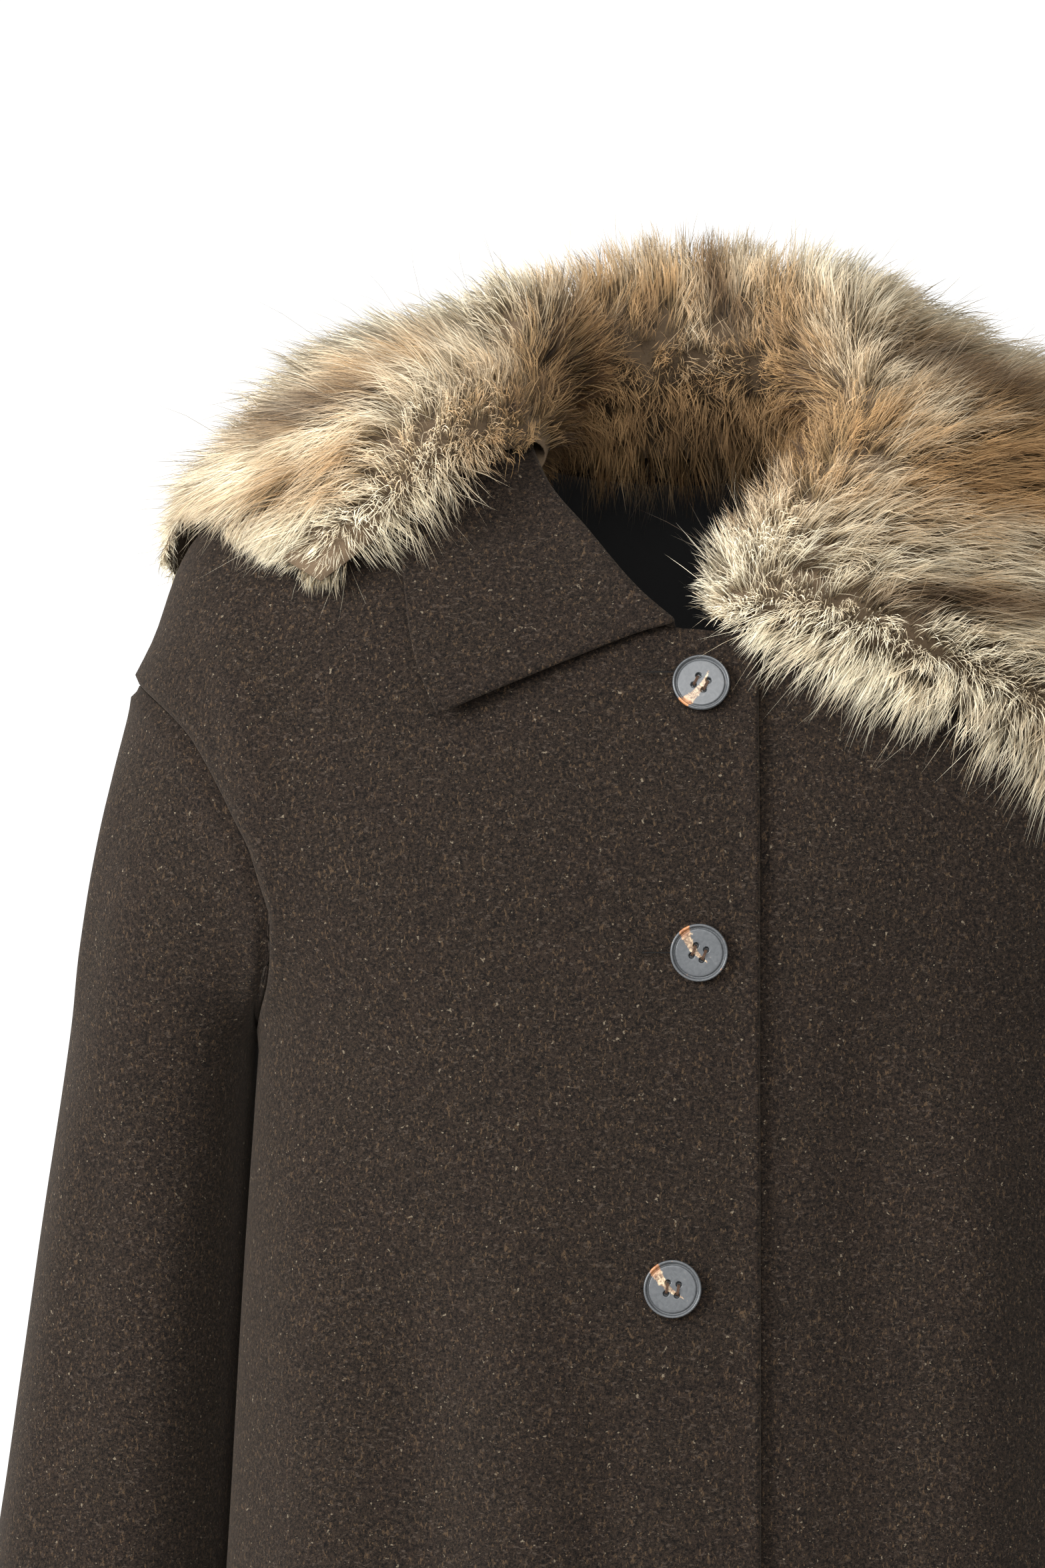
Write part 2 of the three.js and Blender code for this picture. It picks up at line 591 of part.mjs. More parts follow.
// The line that a collar follows at one angle round the neck: up its stand, over its roll, out to its edge.
function collarLine(side, angle) {
  const get = (column) => lookUp(COLLAR, "angle", column, angle);
  const seam = neckline(angle);
  const under = side > 0 && seam.face < 0;
  const lift = under ? -UNDERLAP_DEPTH * (1 - smoothStep(...UNDERLAP_BLEND, seam.x)) : 0;
  const base = onCloth(side * seam.x, seam.z, seam.face, lift);
  const roll = new THREE.Vector3(side * get("rollX"), get("rollY"), get("rollZ"));
  const near = neckline(angle > 90 ? angle - 0.5 : Math.min(angle + 0.5, 90));
  const next = onCloth(side * near.x, near.z, near.face, lift).place;
  const centre = new THREE.Vector3(0, NECK_AXIS_Y, 0).sub(base.place);
  const last = neckline(angle > 90 ? Math.min(angle + 0.5, 180) : Math.max(angle - 0.5, 0));
  const tangent = next.sub(onCloth(side * last.x, last.z, last.face, lift).place);
  const foot = base.place.clone();
  const off = (angle - NECK_SEAM_EXTRA.angle) / NECK_SEAM_EXTRA.width;
  const gap = NECK_SEAM_GAP + NECK_SEAM_EXTRA.gap * Math.exp(-off * off);
  foot.addScaledVector(offEdge(base.normal, tangent, centre), gap);
  const rise = roll.clone().sub(foot).normalize();
  const back = base.normal.clone().addScaledVector(rise, -base.normal.dot(rise)).normalize();
  foot.addScaledVector(back, -CLOTH);
  const away = new THREE.Vector3(roll.x, roll.y - NECK_AXIS_Y, 0).normalize();
  const bend = get("bend");
  const line = [
    foot,
    roll.clone().addScaledVector(away, -bend).add(new THREE.Vector3(0, 0, -1.2 * bend)),
    roll,
    roll.clone().addScaledVector(away, bend).add(new THREE.Vector3(0, 0, -bend)),
  ];
  const far = onBody(side * get("farX"), get("farZ"), angle <= 90 ? -1 : 1);
  const points = 14;
  const archHeight = side < 0 ? COLLAR_ARCH.rightHeight : COLLAR_ARCH.leftHeight;
  for (let k = 1; k <= points; k++) {
    const p = roll.clone().lerp(far, k / points);
    const turned = (angle - COLLAR_ARCH.angle) / COLLAR_ARCH.spread;
    const placed = (k / points - COLLAR_ARCH.share) / COLLAR_ARCH.width;
    const arch = archHeight * Math.exp(-turned * turned - placed * placed);
    for (let pass = 0; pass < 3; pass++) {
      const short = COLLAR_CLEARANCE + arch - heightAbove(p);
      p.addScaledVector(outward(p), (short + Math.hypot(short, 2)) / 2 - (pass ? 1 : 0));
    }
    line.push(p);
  }
  const smooth = rounded(line, 3);
  let top = 0;
  smooth.forEach((p, i) => {
    if (p.distanceTo(roll) < smooth[top].distanceTo(roll)) top = i;
  });
  return { stand: smooth.slice(0, top + 1), fall: smooth.slice(top), inward: back.negate() };
}

// Normals of a grid of points, pointing to the side that pick chooses.
function gridNormals(points, pick) {
  const rows = points.length;
  const columns = points[0].length;
  return points.map((row, r) =>
    row.map((p, c) => {
      const along = points[Math.min(rows - 1, r + 1)][c].clone().sub(points[Math.max(0, r - 1)][c]);
      const across = row[Math.min(columns - 1, c + 1)].clone().sub(row[Math.max(0, c - 1)]);
      return along.cross(across).normalize().multiplyScalar(pick);
    }),
  );
}

function softened(normals, passes) {
  let field = normals;
  for (let pass = 0; pass < passes; pass++)
    field = field.map((row, r) =>
      row.map((n, c) => {
        const sum = n.clone().multiplyScalar(2);
        for (const [dr, dc] of [[1, 0], [-1, 0], [0, 1], [0, -1]]) {
          const near = field[r + dr]?.[c + dc];
          if (near) sum.add(near);
        }
        return sum.normalize();
      }),
    );
  return field;
}

// The collar's stations are the points that the panels have along the neck.
function collarGrid() {
  const turnOf = (x) => THREE.MathUtils.radToDeg(Math.asin(Math.min(1, x / NECK_HALF_WIDTH)));
  const front = neckPoints(-1, -OVERLAP).filter((p) => p.x > COLLAR_END_X).map((p) => turnOf(p.x));
  const back = neckPoints(1, 0).slice(1, -1).reverse().map((p) => 180 - turnOf(p.x));
  const half = [...front, ...back];
  const stations = [
    ...half.map((angle) => [-1, angle]),
    [-1, 180],
    ...half.slice().reverse().map((angle) => [1, angle]),
  ];
  const inward = [];
  const points = stations.map(([side, angle]) => {
    const { stand, fall, inward: way } = collarLine(side, angle);
    const edge = lookUp(COLLAR, "angle", "edge", angle);
    inward.push(way);
    return [
      ...[0, 0.33, 0.66, 0.88, 1].map((share) => along(stand, share)),
      ...[0.08, 0.2, 0.36, 0.52, 0.68, 0.84, 1].map((share) => along(fall, share * edge)),
    ];
  });
  const normals = gridNormals(points, 1);
  normals.forEach((row, r) => {
    row[0] = inward[r];
  });
  return points.map((row, r) => row.map((place, c) => ({ place, normal: normals[r][c] })));
}

// The fur collar's underside, over the wool collar and the shoulders.
function furBase() {
  return Array.from({ length: FUR_STATIONS + 1 }, (_, i) => {
    const way = -1 + (2 * i) / FUR_STATIONS;
    const side = way < 0 ? -1 : 1;
    const end = side < 0 ? FUR_RIGHT_END : FUR_LEFT_END;
    const reach = lookUp(FUR_REACH, "along", "reach", way);
    const lineAt = (share) =>
      collarLine(side, 180 - Math.abs(way) * (180 - end.neck - end.slant * share));
    return [
      ...FUR_STAND_ROWS.map((share) => along(lineAt(0).stand, share)),
      ...FUR_FALL_ROWS.map((share) => along(lineAt(share * reach).fall, share * reach)),
    ];
  });
}

function furSolid() {
  const base = furBase();
  const normals = softened(gridNormals(base, 1), 3);
  const last = base.length - 1;
  const fallAt = [...FUR_STAND_ROWS.map(() => 0), ...FUR_FALL_ROWS];
  const under = base.map((row, r) =>
    row.map((p, c) => p.clone().addScaledVector(normals[r][c], FUR_UNDER)),
  );
  const over = base.map((row, r) => {
    const nearEnd = Math.max(0, 1 - Math.min(r, last - r) / last / FUR_END_SPAN);
    const crown = lookUp(FUR_CROWN, "along", "height", Math.abs((2 * r) / last - 1));
    const beside = r < last / 2 ? base[r + 1] : base[r - 1];
    return row.map((p, c) => {
      const share = FUR_STAND_SHARE[c] ?? lookUp(FUR_FALL_SHARE, "fall", "share", fallAt[c]);
      const pile = crown * share * Math.sqrt(1 - nearEnd ** 2);
      const rim = nearEnd > 0 && fallAt[c] > 0 ? FUR_END_RIM : FUR_RIM;
      const overhang = lookUp(FUR_OVERHANG, "fall", r < last / 2 ? "right" : "left", fallAt[c]);
      const endWay = p.clone().sub(beside[c]).normalize();
      return p
        .clone()
        .addScaledVector(normals[r][c], FUR_UNDER + Math.max(rim, pile))
        .addScaledVector(endWay, nearEnd ** 2 * (c < FUR_STAND_ROWS.length ? 0 : overhang));
    });
  });
  return slab(over, under);
}

// The black lining that shows inside the back of the neck, made from the back's own points.
function liningGrid() {
  const grid = backGrid();
  const middle = (grid[0].length - 1) / 2;
  return grid
    .slice(LOWER_ROWS + LINING_FIRST_ROW)
    .map((row) => row.slice(middle - NECK_STEPS + 1, middle + NECK_STEPS).map(({ place, normal }) => ({
      place: place.clone().addScaledVector(normal, -CLOTH - FACE_GAP),
      normal,
    })));
}

function solidOf(geometry) {
  const bare = geometry.clone();
  bare.deleteAttribute("normal");
  bare.deleteAttribute("uv");
  const merged = mergeVertices(bare, 1e-4);
  return new wasm.Manifold(
    new wasm.Mesh({
      numProp: 3,
      vertProperties: merged.attributes.position.array,
      triVerts: new Uint32Array(merged.index.array),
    }),
  );
}

function geometryOf(solid) {
  const mesh = solid.getMesh();
  const geometry = new THREE.BufferGeometry();
  geometry.setAttribute("position", new THREE.BufferAttribute(mesh.vertProperties, 3));
  geometry.setIndex(new THREE.BufferAttribute(mesh.triVerts, 1));
  geometry.computeVertexNormals();
  return geometry;
}

// A dished button with a rim and four thread holes, its face towards +Z and its back on z 0.
function buttonGeometry() {
  const top = BUTTON_THICK;
  const face = top - BUTTON_DISH;
  const profile = [
    [0, 0],
    [BUTTON_RADIUS - 3.5, 0],
    [BUTTON_RADIUS - 0.8, 1.2],
    [BUTTON_RADIUS, 2.4],
    [BUTTON_RADIUS - 0.6, top - 0.2],
    [BUTTON_RADIUS - 1.3, top],
    [BUTTON_RADIUS - BUTTON_RIM, face],
    [0, face],
  ].map(([radius, height]) => new THREE.Vector2(radius, height));
  const lathe = new THREE.LatheGeometry(profile, 24);
  lathe.rotateX(Math.PI / 2);
  let solid = solidOf(lathe);
  for (const sx of [-1, 1])
    for (const sy of [-1, 1]) {
      const hole = new THREE.CylinderGeometry(BUTTON_HOLE_RADIUS, BUTTON_HOLE_RADIUS, 3 * top, 8);
      hole.rotateX(Math.PI / 2);
      hole.translate((sx * BUTTON_HOLE_SPACING) / 2, (sy * BUTTON_HOLE_SPACING) / 2, 0);
      solid = solid.subtract(solidOf(hole));
    }
  return geometryOf(solid);
}

const wool = new THREE.MeshStandardMaterial({ color: 0x40362f, roughness: 0.95, metalness: 0 });
const fur = new THREE.MeshStandardMaterial({ color: 0xb79f7c, roughness: 0.8, metalness: 0 });
const black = new THREE.MeshStandardMaterial({ color: 0x0a0a0b, roughness: 0.5, metalness: 0 });
const horn = new THREE.MeshStandardMaterial({ color: 0x4c4f52, roughness: 0.35, metalness: 0 });

const jacket = new THREE.Group();

function add(name, geometry, material) {
  const mesh = new THREE.Mesh(geometry, material);
  mesh.name = name;
  jacket.add(mesh);
  return mesh;
}

add("front_right", wall(frontGrid(-1), CLOTH), wool);
add("front_left", wall(frontGrid(1), CLOTH), wool);
add("back", wall(backGrid(), CLOTH), wool);
add("sleeve_right", wall(sleeveGrid(-1), CLOTH, true), wool);
add("sleeve_left", wall(sleeveGrid(1), CLOTH, true), wool);
add("collar", wall(collarGrid(), CLOTH), wool);
add("back_neck_lining", wall(liningGrid(), LINING), black);
add("fur_collar", furSolid(), fur);

for (const { name, x, z, turn } of BUTTONS) {
  const button = add(name, buttonGeometry(), horn);
  const seat = onCloth(x, z, -1);
  button.position.copy(seat.place).addScaledVector(seat.normal, SEAM_GAP);
  button.quaternion.setFromUnitVectors(new THREE.Vector3(0, 0, 1), seat.normal);
  button.rotateZ(radians(turn));
}

export default jacket;
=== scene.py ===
import math

import bpy
import numpy as np
from mathutils import Matrix, Vector


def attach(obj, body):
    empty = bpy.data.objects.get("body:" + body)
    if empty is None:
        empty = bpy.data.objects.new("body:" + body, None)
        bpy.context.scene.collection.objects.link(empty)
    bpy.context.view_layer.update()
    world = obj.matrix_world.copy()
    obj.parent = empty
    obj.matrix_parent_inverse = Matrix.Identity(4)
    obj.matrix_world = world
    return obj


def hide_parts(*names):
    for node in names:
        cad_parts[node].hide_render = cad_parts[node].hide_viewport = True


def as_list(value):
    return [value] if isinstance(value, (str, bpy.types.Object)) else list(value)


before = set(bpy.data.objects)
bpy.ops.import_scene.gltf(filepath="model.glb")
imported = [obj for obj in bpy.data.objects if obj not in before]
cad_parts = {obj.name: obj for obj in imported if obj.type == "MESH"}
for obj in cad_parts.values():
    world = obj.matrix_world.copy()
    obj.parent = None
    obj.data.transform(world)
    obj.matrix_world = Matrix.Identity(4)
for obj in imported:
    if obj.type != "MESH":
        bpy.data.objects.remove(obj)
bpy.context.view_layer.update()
MM = 0.001
random = np.random.default_rng(11)

# Camera: level, three metres in front of the jacket, framed as a close view of its right front and collar.
CAMERA_PLACE = (-86.3, -3130.0, -177.5)
FRAME_WIDTH = 505.0
CAMERA_DISTANCE = 3000.0
SENSOR_WIDTH = 36

# Each light's name, place and target in metres, its width and its power.
LIGHTS = [
    ("key", (-2.2, -1.5, 0.6), (0, 0, -0.2), 1.3, 280),
    ("front", (-0.2, -2.7, 1.2), (0, 0, -0.1), 1.8, 165),
]
WORLD_STRENGTH = 1.15
FLOOR_Z = -950
FLOOR_RADIUS = 1.5

# The part's own sizes, in millimetres, as in its source.
CLOTH = 2.4
EDGE_SOFTNESS = 0.3
HEM_Z = -700
UNDERARM_Z = -300
SHOULDER_TIP_Z = -128
ROUNDNESS = 2.4
OVERLAP = 29
UNDERLAP_DEPTH = 3.4
UNDERLAP_BLEND = (30, 78)
NECK_HALF_WIDTH = 95
NECK_FRONT_DROP = 102
NECK_BACK_DROP = 22
NECK_CURVE = 1.3
EDGE_DROP = 3
NECK_SHARE = 9 / 16
TOP_CROWDING = 1.8


def table(columns, rows):
    """Columns by name. look_up() reads between the rows along the first one."""
    names = columns.split()
    return {name: np.array([row[i] for row in rows], float) for i, name in enumerate(names)}


def rows_of(columns):
    return zip(*columns.values())


# Rings of the filled out body, from the hem to the neck.
BODY_RINGS = table("z half_width front back middle", [
    (-700, 250, 146, 136, -2),
    (-566, 241, 140, 128, -2),
    (-470, 236, 136, 124, -2),
    (-380, 231, 133, 121, 0),
    (-330, 228, 131, 121, 2),
    (-300, 226, 130, 122, 3),
    (-285, 230, 130, 122, 3),
    (-250, 247, 130, 124, 3),
    (-220, 259, 129, 124, 3),
    (-190, 269, 126, 124, 3),
    (-160, 278, 119, 122, 3),
    (-128, 281, 110, 117, 3),
    (-101, 271, 101, 108, 3),
    (-67, 259, 84, 92, 3),
    (-50, 248, 73, 82, 3),
    (-40, 232, 68, 76, 3),
    (-30, 200, 62, 70, 3),
    (-15, 148, 53, 60, 3),
    (0, 95, 45, 50, 3),
    (40, 40, 26, 30, 3),
])
ARM_PRESS = table("z depth", [(-700, 10), (-400, 15), (-300, 12), (-262, 0)])
ARM_PRESS_Y = 18
ARM_PRESS_REACH = 50

# Soft folds, each a ridge or a trough along a line on the front (face -1) or the back (1).
BODY_FOLDS = table("face top_x top_z foot_x foot_z width height", [
    (-1, -238, -58, -206, -262, 15, 4.5),
    (-1, 238, -58, 206, -262, 15, 4.5),
    (-1, -192, -330, -186, -720, 24, 6),
    (-1, -142, -390, -136, -720, 24, -8),
    (-1, -92, -350, -84, -720, 26, 6),
    (-1, -46, -440, -42, -720, 17, -4),
    (-1, 84, -230, 78, -720, 26, -7),
    (-1, 134, -300, 130, -720, 24, 6),
    (-1, 186, -370, 180, -720, 22, -5),
    (1, -196, -150, -176, -540, 26, 6),
    (1, 200, -160, 182, -500, 24, 6),
    (1, -118, -290, -112, -720, 28, -8),
    (1, -52, -340, -58, -720, 26, 7),
    (1, 12, -380, 6, -720, 24, -6),
    (1, 74, -320, 78, -720, 26, 7),
    (1, 138, -300, 132, -720, 26, -7),
])
FOLD_FADE = 90

# How far the armhole cuts in on the front and the back, from the underarm (0) to the shoulder (180).
ARMHOLE = table("angle front back", [
    (0, 0, 0), (15, 26, 24), (30, 48, 45), (45, 65, 60), (60, 76, 69),
    (75, 82, 74), (90, 82, 75), (105, 77, 72), (120, 70, 65), (135, 60, 55),
    (150, 44, 41), (165, 23, 22), (180, 0, 0),
])

# The sleeve's inner and outer line, from the armhole (0) to the cuff (9), and its folds along it.
SLEEVE = table("at inner_x inner_z outer_x outer_z middle depth", [
    (0, 214, -300, 281, -128, 3, 80),
    (1, 219, -307, 294, -178, 6, 74),
    (2, 220, -318, 304, -228, 11, 71),
    (3, 220, -333, 312, -282, 16, 70),
    (4, 221, -356, 320, -336, 20, 70),
    (5, 222, -402, 329, -393, 23, 70),
    (6, 224, -460, 338, -456, 24, 69),
    (7, 227, -520, 347, -520, 24, 67),
    (8, 230, -580, 356, -583, 22, 65),
    (9, 235, -634, 361, -642, 20, 62),
])
SLEEVE_ROUNDNESS = 2.15
SLEEVE_FOLDS = table("angle start end spread height", [
    (158, 0.35, 3.6, 11, 3.2),
    (205, 1.2, 6.5, 16, -3.5),
    (118, 3.6, 9.6, 20, -4),
    (78, 4.2, 9.6, 18, 3.5),
    (262, 2.5, 8.5, 20, 4),
    (298, 3.2, 9.6, 18, -4),
])
# How the sleeve's head is drawn on to the armhole, set out from it and tucked in along the seam.
SLEEVE_EASE = 2.2
SLEEVE_SET_OUT, SLEEVE_SET_FADE = 0.6, 0.3
SLEEVE_TUCK_IN, SLEEVE_TUCK_DOWN = 1.5, 0.9
SLEEVE_TUCK_WIDTH = 0.045

# The collars' roll line and outer line round the neck, from the front centre (0) to the back centre (180).
# edge is the share of the fall that the wool covers.
COLLAR = table("angle roll_x roll_y roll_z bend far_x far_z edge", [
    (0, 4, -105, -103, 1.6, 226, -212, 0.505),
    (20, 30, -96, -80, 4, 248, -168, 0.47),
    (40, 55, -80, -50, 5, 264, -132, 0.4),
    (60, 76, -63, -24, 5, 268, -101, 0.36),
    (75, 86, -38, 2, 5, 268, -80, 0.36),
    (90, 89, -4, 24, 5, 268, -70, 0.39),
    (105, 87, 20, 36, 5, 258, -84, 0.41),
    (120, 77, 39, 46, 5, 232, -105, 0.44),
    (150, 46, 59, 58, 5, 128, -128, 0.5),
    (180, 0, 66, 62, 5, 0, -134, 0.53),
])
COLLAR_END_ANGLE = 6
COLLAR_CLEARANCE = 5.6
COLLAR_CURL = 6.5
COLLAR_ARCH = {-1: 22, 1: 7}
ARCH_ANGLE, ARCH_SPREAD = 88, 30
ARCH_SHARE, ARCH_WIDTH = 0.3, 0.26
COLLAR_STAND_COLUMNS = 16
NECK_AXIS_Y = -16

# The fur collar runs along the neck from its right end (-1) past the back centre (0) to its left end (1).
FUR_END = {-1: (68, -40), 1: (6, 0)}
FUR_REACH = table("along reach", [
    (-1, 0.56), (-0.86, 0.65), (-0.74, 0.8), (-0.62, 0.91), (-0.5, 0.96),
    (0.6, 0.97), (0.8, 0.98), (1, 0.96),
])
FUR_CROWN = table("along height", [(0, 47), (0.4, 48), (0.6, 49), (0.8, 46), (1, 42)])
FUR_STAND_SHARE = table("stand share", [(0.14, 0.1), (0.45, 0.55), (0.72, 0.71), (0.88, 0.76), (1, 0.77)])
FUR_FALL_SHARE = table("fall share", [
    (0, 0.77), (0.14, 0.97), (0.3, 0.95), (0.45, 0.8), (0.55, 0.66),
    (0.65, 0.48), (0.75, 0.34), (0.85, 0.22), (1, 0.09),
])
FUR_OVERHANG = table("fall right left", [
    (0, 0, 4),
    (0.15, 12, 30),
    (0.32, 21, 34),
    (0.57, 29, 36),
    (0.8, 20, 36),
    (1, 5, 30),
])
FUR_TRIM = table("along change", [
    (-1, -2), (-0.86, -8), (-0.77, -12), (-0.7, -9), (-0.65, 1),
    (-0.6, 9), (-0.56, 10), (-0.5, 1), (-0.42, -1), (-0.32, 0),
    (-0.2, 3), (-0.1, 6), (0, 6), (0.2, 7), (0.35, 9),
    (0.44, 2), (0.55, -12), (0.7, -6), (1, 0),
])
FUR_UNDER = 3.3

# No hair passes these two corners of a box round the jacket.
FUR_LOW, FUR_HIGH = (-374, -160, -720), (374, 147, 122)

# Seams: a sunk line and the pressed allowance beside it. The back's side edges tuck in under the fronts'.
SEAM_DEPTH, SEAM_WIDTH = 2.6, 2.6
ALLOWANCE_RISE, ALLOWANCE_AT, ALLOWANCE_WIDTH = 1.3, 7, 4.5
SIDE_LAP, SIDE_LAP_FADE = 2.6, 30
EDGE_RIDGE, EDGE_TURN = 2, 3
# LINING sizes the near-black patch inside the back neck, which paints the shade there.
LINING, LINING_GAP, LINING_CELLS = 1.0, 0.5, 24

BUTTON_GAP = 0.3
BUTTON_HOLE_RADIUS, BUTTON_HOLE_DEPTH, BUTTON_HOLE_SPACING = 1.45, 2.5, 5.4
# Each button's name, place and turn, the way that the pale flame in its horn points, and how far the flame
# runs past the middle.
BUTTONS = [
    ("button_1", 0.6, -129, -27, 240, 7),
    ("button_2", -1, -259, -23, 133, 7),
    ("button_3", -14, -421, -10, 141, 8),
    ("button_4", -14, -584, -18, 70, 6),
]
THREAD_RADIUS, STITCH_RADIUS, SLIT_RADIUS = 0.22, 0.3, 0.5
STITCHES = 112
BUTTON_FACE = 2.9
# The outline of the button's rim and back, each point at a radius and a height.
BUTTON_EDGE = [
    (11.3, 2.86), (11.7, 2.3), (12.1, 2.1), (12.45, 2.4),
    (12.75, 3.4), (13.0, 3.85), (13.3, 4), (13.65, 3.9),
    (13.92, 3.5), (14, 2.9), (13.85, 2.1), (13.2, 1.3),
    (11.6, 0.5), (9.8, 0.05), (6, 0), (0.05, 0),
]
# The buttonhole's two ends, and how far each one lies above its button's middle.
BUTTONHOLE = (-29.6, 3.2)
BUTTONHOLE_RAISE = {"button_1": 6, "button_2": 0, "button_3": 0, "button_4": 0}


def unit(v):
    return v / np.maximum(np.linalg.norm(v, axis=-1, keepdims=True), 1e-9)


def smooth_step(low, high, at):
    t = np.clip((at - low) / (high - low), 0, 1)
    return t * t * (3 - 2 * t)


def bell(at, centre, width):
    return np.exp(-(((at - centre) / width) ** 2))


def look_up(rows, column, at):
    """A table's column on a smooth curve that never overshoots its rows."""
    x, y = next(iter(rows.values())), rows[column]
    slope = np.diff(y) / np.diff(x)
    before, after = slope[:-1], slope[1:]
    total = np.where(before * after > 0, before + after, 1)
    inner = np.where(before * after > 0, 2 * before * after / total, 0)
    tangent = np.concatenate([slope[:1], inner, slope[-1:]])
    at = np.clip(at, x[0], x[-1])
    i = np.clip(np.searchsorted(x, at, side="right") - 1, 0, len(x) - 2)
    step = x[i + 1] - x[i]
    t = (at - x[i]) / step
    return (
        (1 + 2 * t) * (1 - t) ** 2 * y[i]
        + t * (1 - t) ** 2 * step * tangent[i]
        + t * t * (3 - 2 * t) * y[i + 1]
        + t * t * (t - 1) * step * tangent[i + 1]
    )


def row_at(rows, at):
    """All columns but the first, between the rows."""
    return {column: look_up(rows, column, at) for column in list(rows)[1:]}


def spaced(points, shares):
    """Points at shares of the length of a line of points."""
    steps = np.linalg.norm(np.diff(points, axis=0), axis=1)
    length = np.concatenate([[0], np.cumsum(steps)])
    goal = np.asarray(shares) * length[-1]
    return np.stack([np.interp(goal, length, points[:, k]) for k in range(3)], -1)


def ring(z):
    return row_at(BODY_RINGS, z).values()


def level(p):
    """1 on the body's surface, less inside and more outside."""
    half_width, front, back, middle = ring(p[..., 2])
    depth = np.where(p[..., 1] < middle, front, back)
    across = np.abs(p[..., 0] / half_width) ** ROUNDNESS
    through = np.abs((p[..., 1] - middle) / depth) ** ROUNDNESS
    return (across + through) ** (1 / ROUNDNESS)


def gradient(p):
    steps = 0.05 * np.eye(3)
    return np.stack([(level(p + s) - level(p - s)) / 0.1 for s in steps], -1)


def on_body(x, z, face):
    half_width, front, back, middle = ring(z)
    share = np.maximum(0, 1 - np.abs(x / half_width) ** ROUNDNESS)
    depth = np.where(face < 0, front, back) * share ** (1 / ROUNDNESS)
    return np.stack([x + 0 * z, middle + face * np.maximum(depth, 0.2), z + 0 * x], -1)


def fold_height(p, face):
    press = look_up(ARM_PRESS, "depth", p[..., 2])
    height = -press * bell(p[..., 1], ARM_PRESS_Y, ARM_PRESS_REACH)
    for fold_face, top_x, top_z, foot_x, foot_z, width, rise in rows_of(BODY_FOLDS):
        share = (p[..., 2] - top_z) / (foot_z - top_z)
        ends = smooth_step(foot_z, foot_z + FOLD_FADE, p[..., 2])
        ends = ends * smooth_step(-top_z, -top_z + FOLD_FADE, -p[..., 2])
        ridge = rise * ends * bell(p[..., 0], top_x + share * (foot_x - top_x), width)
        height = height + np.where(face == fold_face, ridge, 0)
    return height


def on_cloth(x, z, face, lift=0):
    base = on_body(x, z, face)
    normal = unit(gradient(base))
    rise = fold_height(base, face) + lift
    return base + normal * np.asarray(rise)[..., None], normal


def neckline(angle):
    turn = np.radians(angle)
    front = NECK_FRONT_DROP * np.maximum(0, np.cos(turn)) ** NECK_CURVE
    back = NECK_BACK_DROP * -np.cos(turn)
    face = np.where(angle <= 90, -1, 1)
    return NECK_HALF_WIDTH * np.sin(turn), -np.where(angle <= 90, front, back), face


def armhole(angle):
    face = np.where(angle > 180, 1, -1)
    up = np.where(angle > 180, 360 - angle, angle)
    z = UNDERARM_Z + (SHOULDER_TIP_Z - UNDERARM_Z) * (1 - np.cos(np.radians(up))) / 2
    reach = [look_up(ARMHOLE, side, up) for side in ("front", "back")]
    half_width, front, back, _ = ring(z)
    share = 1 - np.where(face < 0, reach[0] / front, reach[1] / back) ** ROUNDNESS
    return half_width * share ** (1 / ROUNDNESS), z, face


def bordered(steps):
    """Shares from 0 to 1 with a narrow step at each end, where the cloth's edge turns."""
    return np.concatenate([[0, 0.003], np.linspace(0.01, 0.99, steps), [0.997, 1]])


def level_columns(z, face, edge_x, shares):
    half_width = look_up(BODY_RINGS, "half_width", z)
    turn = np.linspace(0, math.pi / 2, 200)
    line = on_body(half_width * np.sin(turn) ** (2 / ROUNDNESS), z + 0 * turn, face)
    if edge_x < 0:
        line = np.vstack([on_body(np.array([float(edge_x)]), np.array([float(z)]), face), line])
    return spaced(line, shares)[:, 0]


def half_panel(face, edge_x, columns=64, lower_rows=40, upper_rows=60):
    """A half panel's x and z places, from the hem up, in the half with positive x."""
    shares = bordered(columns)
    xs, zs = [], []
    lower = np.concatenate([[0, 0.003], np.linspace(0.01, 1, lower_rows)])[:-1]
    for share in lower:
        z = HEM_Z + (UNDERARM_Z - HEM_Z) * share
        xs.append(level_columns(z, face, edge_x, shares))
        zs.append(np.full(len(shares), z))
    foot = level_columns(UNDERARM_Z, face, edge_x, shares)
    turn = np.linspace(0, 90, 200) if face < 0 else np.linspace(180, 90, 200)
    x, z, _ = neckline(turn)
    neck = on_body(x, z, face)
    if edge_x < 0:
        corner = on_body(np.array([float(edge_x)]), np.array([float(-NECK_FRONT_DROP - EDGE_DROP)]), face)
        neck = np.vstack([corner, neck])
    z = np.linspace(0, SHOULDER_TIP_Z, 200)
    shoulder = np.stack([look_up(BODY_RINGS, "half_width", z), 0 * z, z], -1)
    on_neck = np.minimum(shares / NECK_SHARE, 1)
    on_shoulder = np.maximum((shares - NECK_SHARE) / (1 - NECK_SHARE), 0)
    head = np.where(
        (shares <= NECK_SHARE)[:, None], spaced(neck, on_neck), spaced(shoulder, on_shoulder)
    )
    for share in np.concatenate([np.linspace(0, 0.985, upper_rows), [0.996, 1]]):
        up = 1 - (1 - share) ** TOP_CROWDING
        side_x, side_z, _ = armhole(np.array(180 * share if face < 0 else 360 - 180 * share))
        chord_x = foot[-1] + (head[-1, 0] - foot[-1]) * up
        chord_z = UNDERARM_Z + (SHOULDER_TIP_Z - UNDERARM_Z) * up
        xs.append(foot + (head[:, 0] - foot) * up + shares * (side_x - chord_x))
        zs.append(UNDERARM_Z + (head[:, 2] - UNDERARM_Z) * up + shares * (side_z - chord_z))
    return np.array(xs), np.array(zs)


def seam_line(side):
    angle = np.linspace(0, 360, 240, endpoint=False)
    x, z, face = armhole(angle)
    return on_cloth(side * x, z, face)[0]


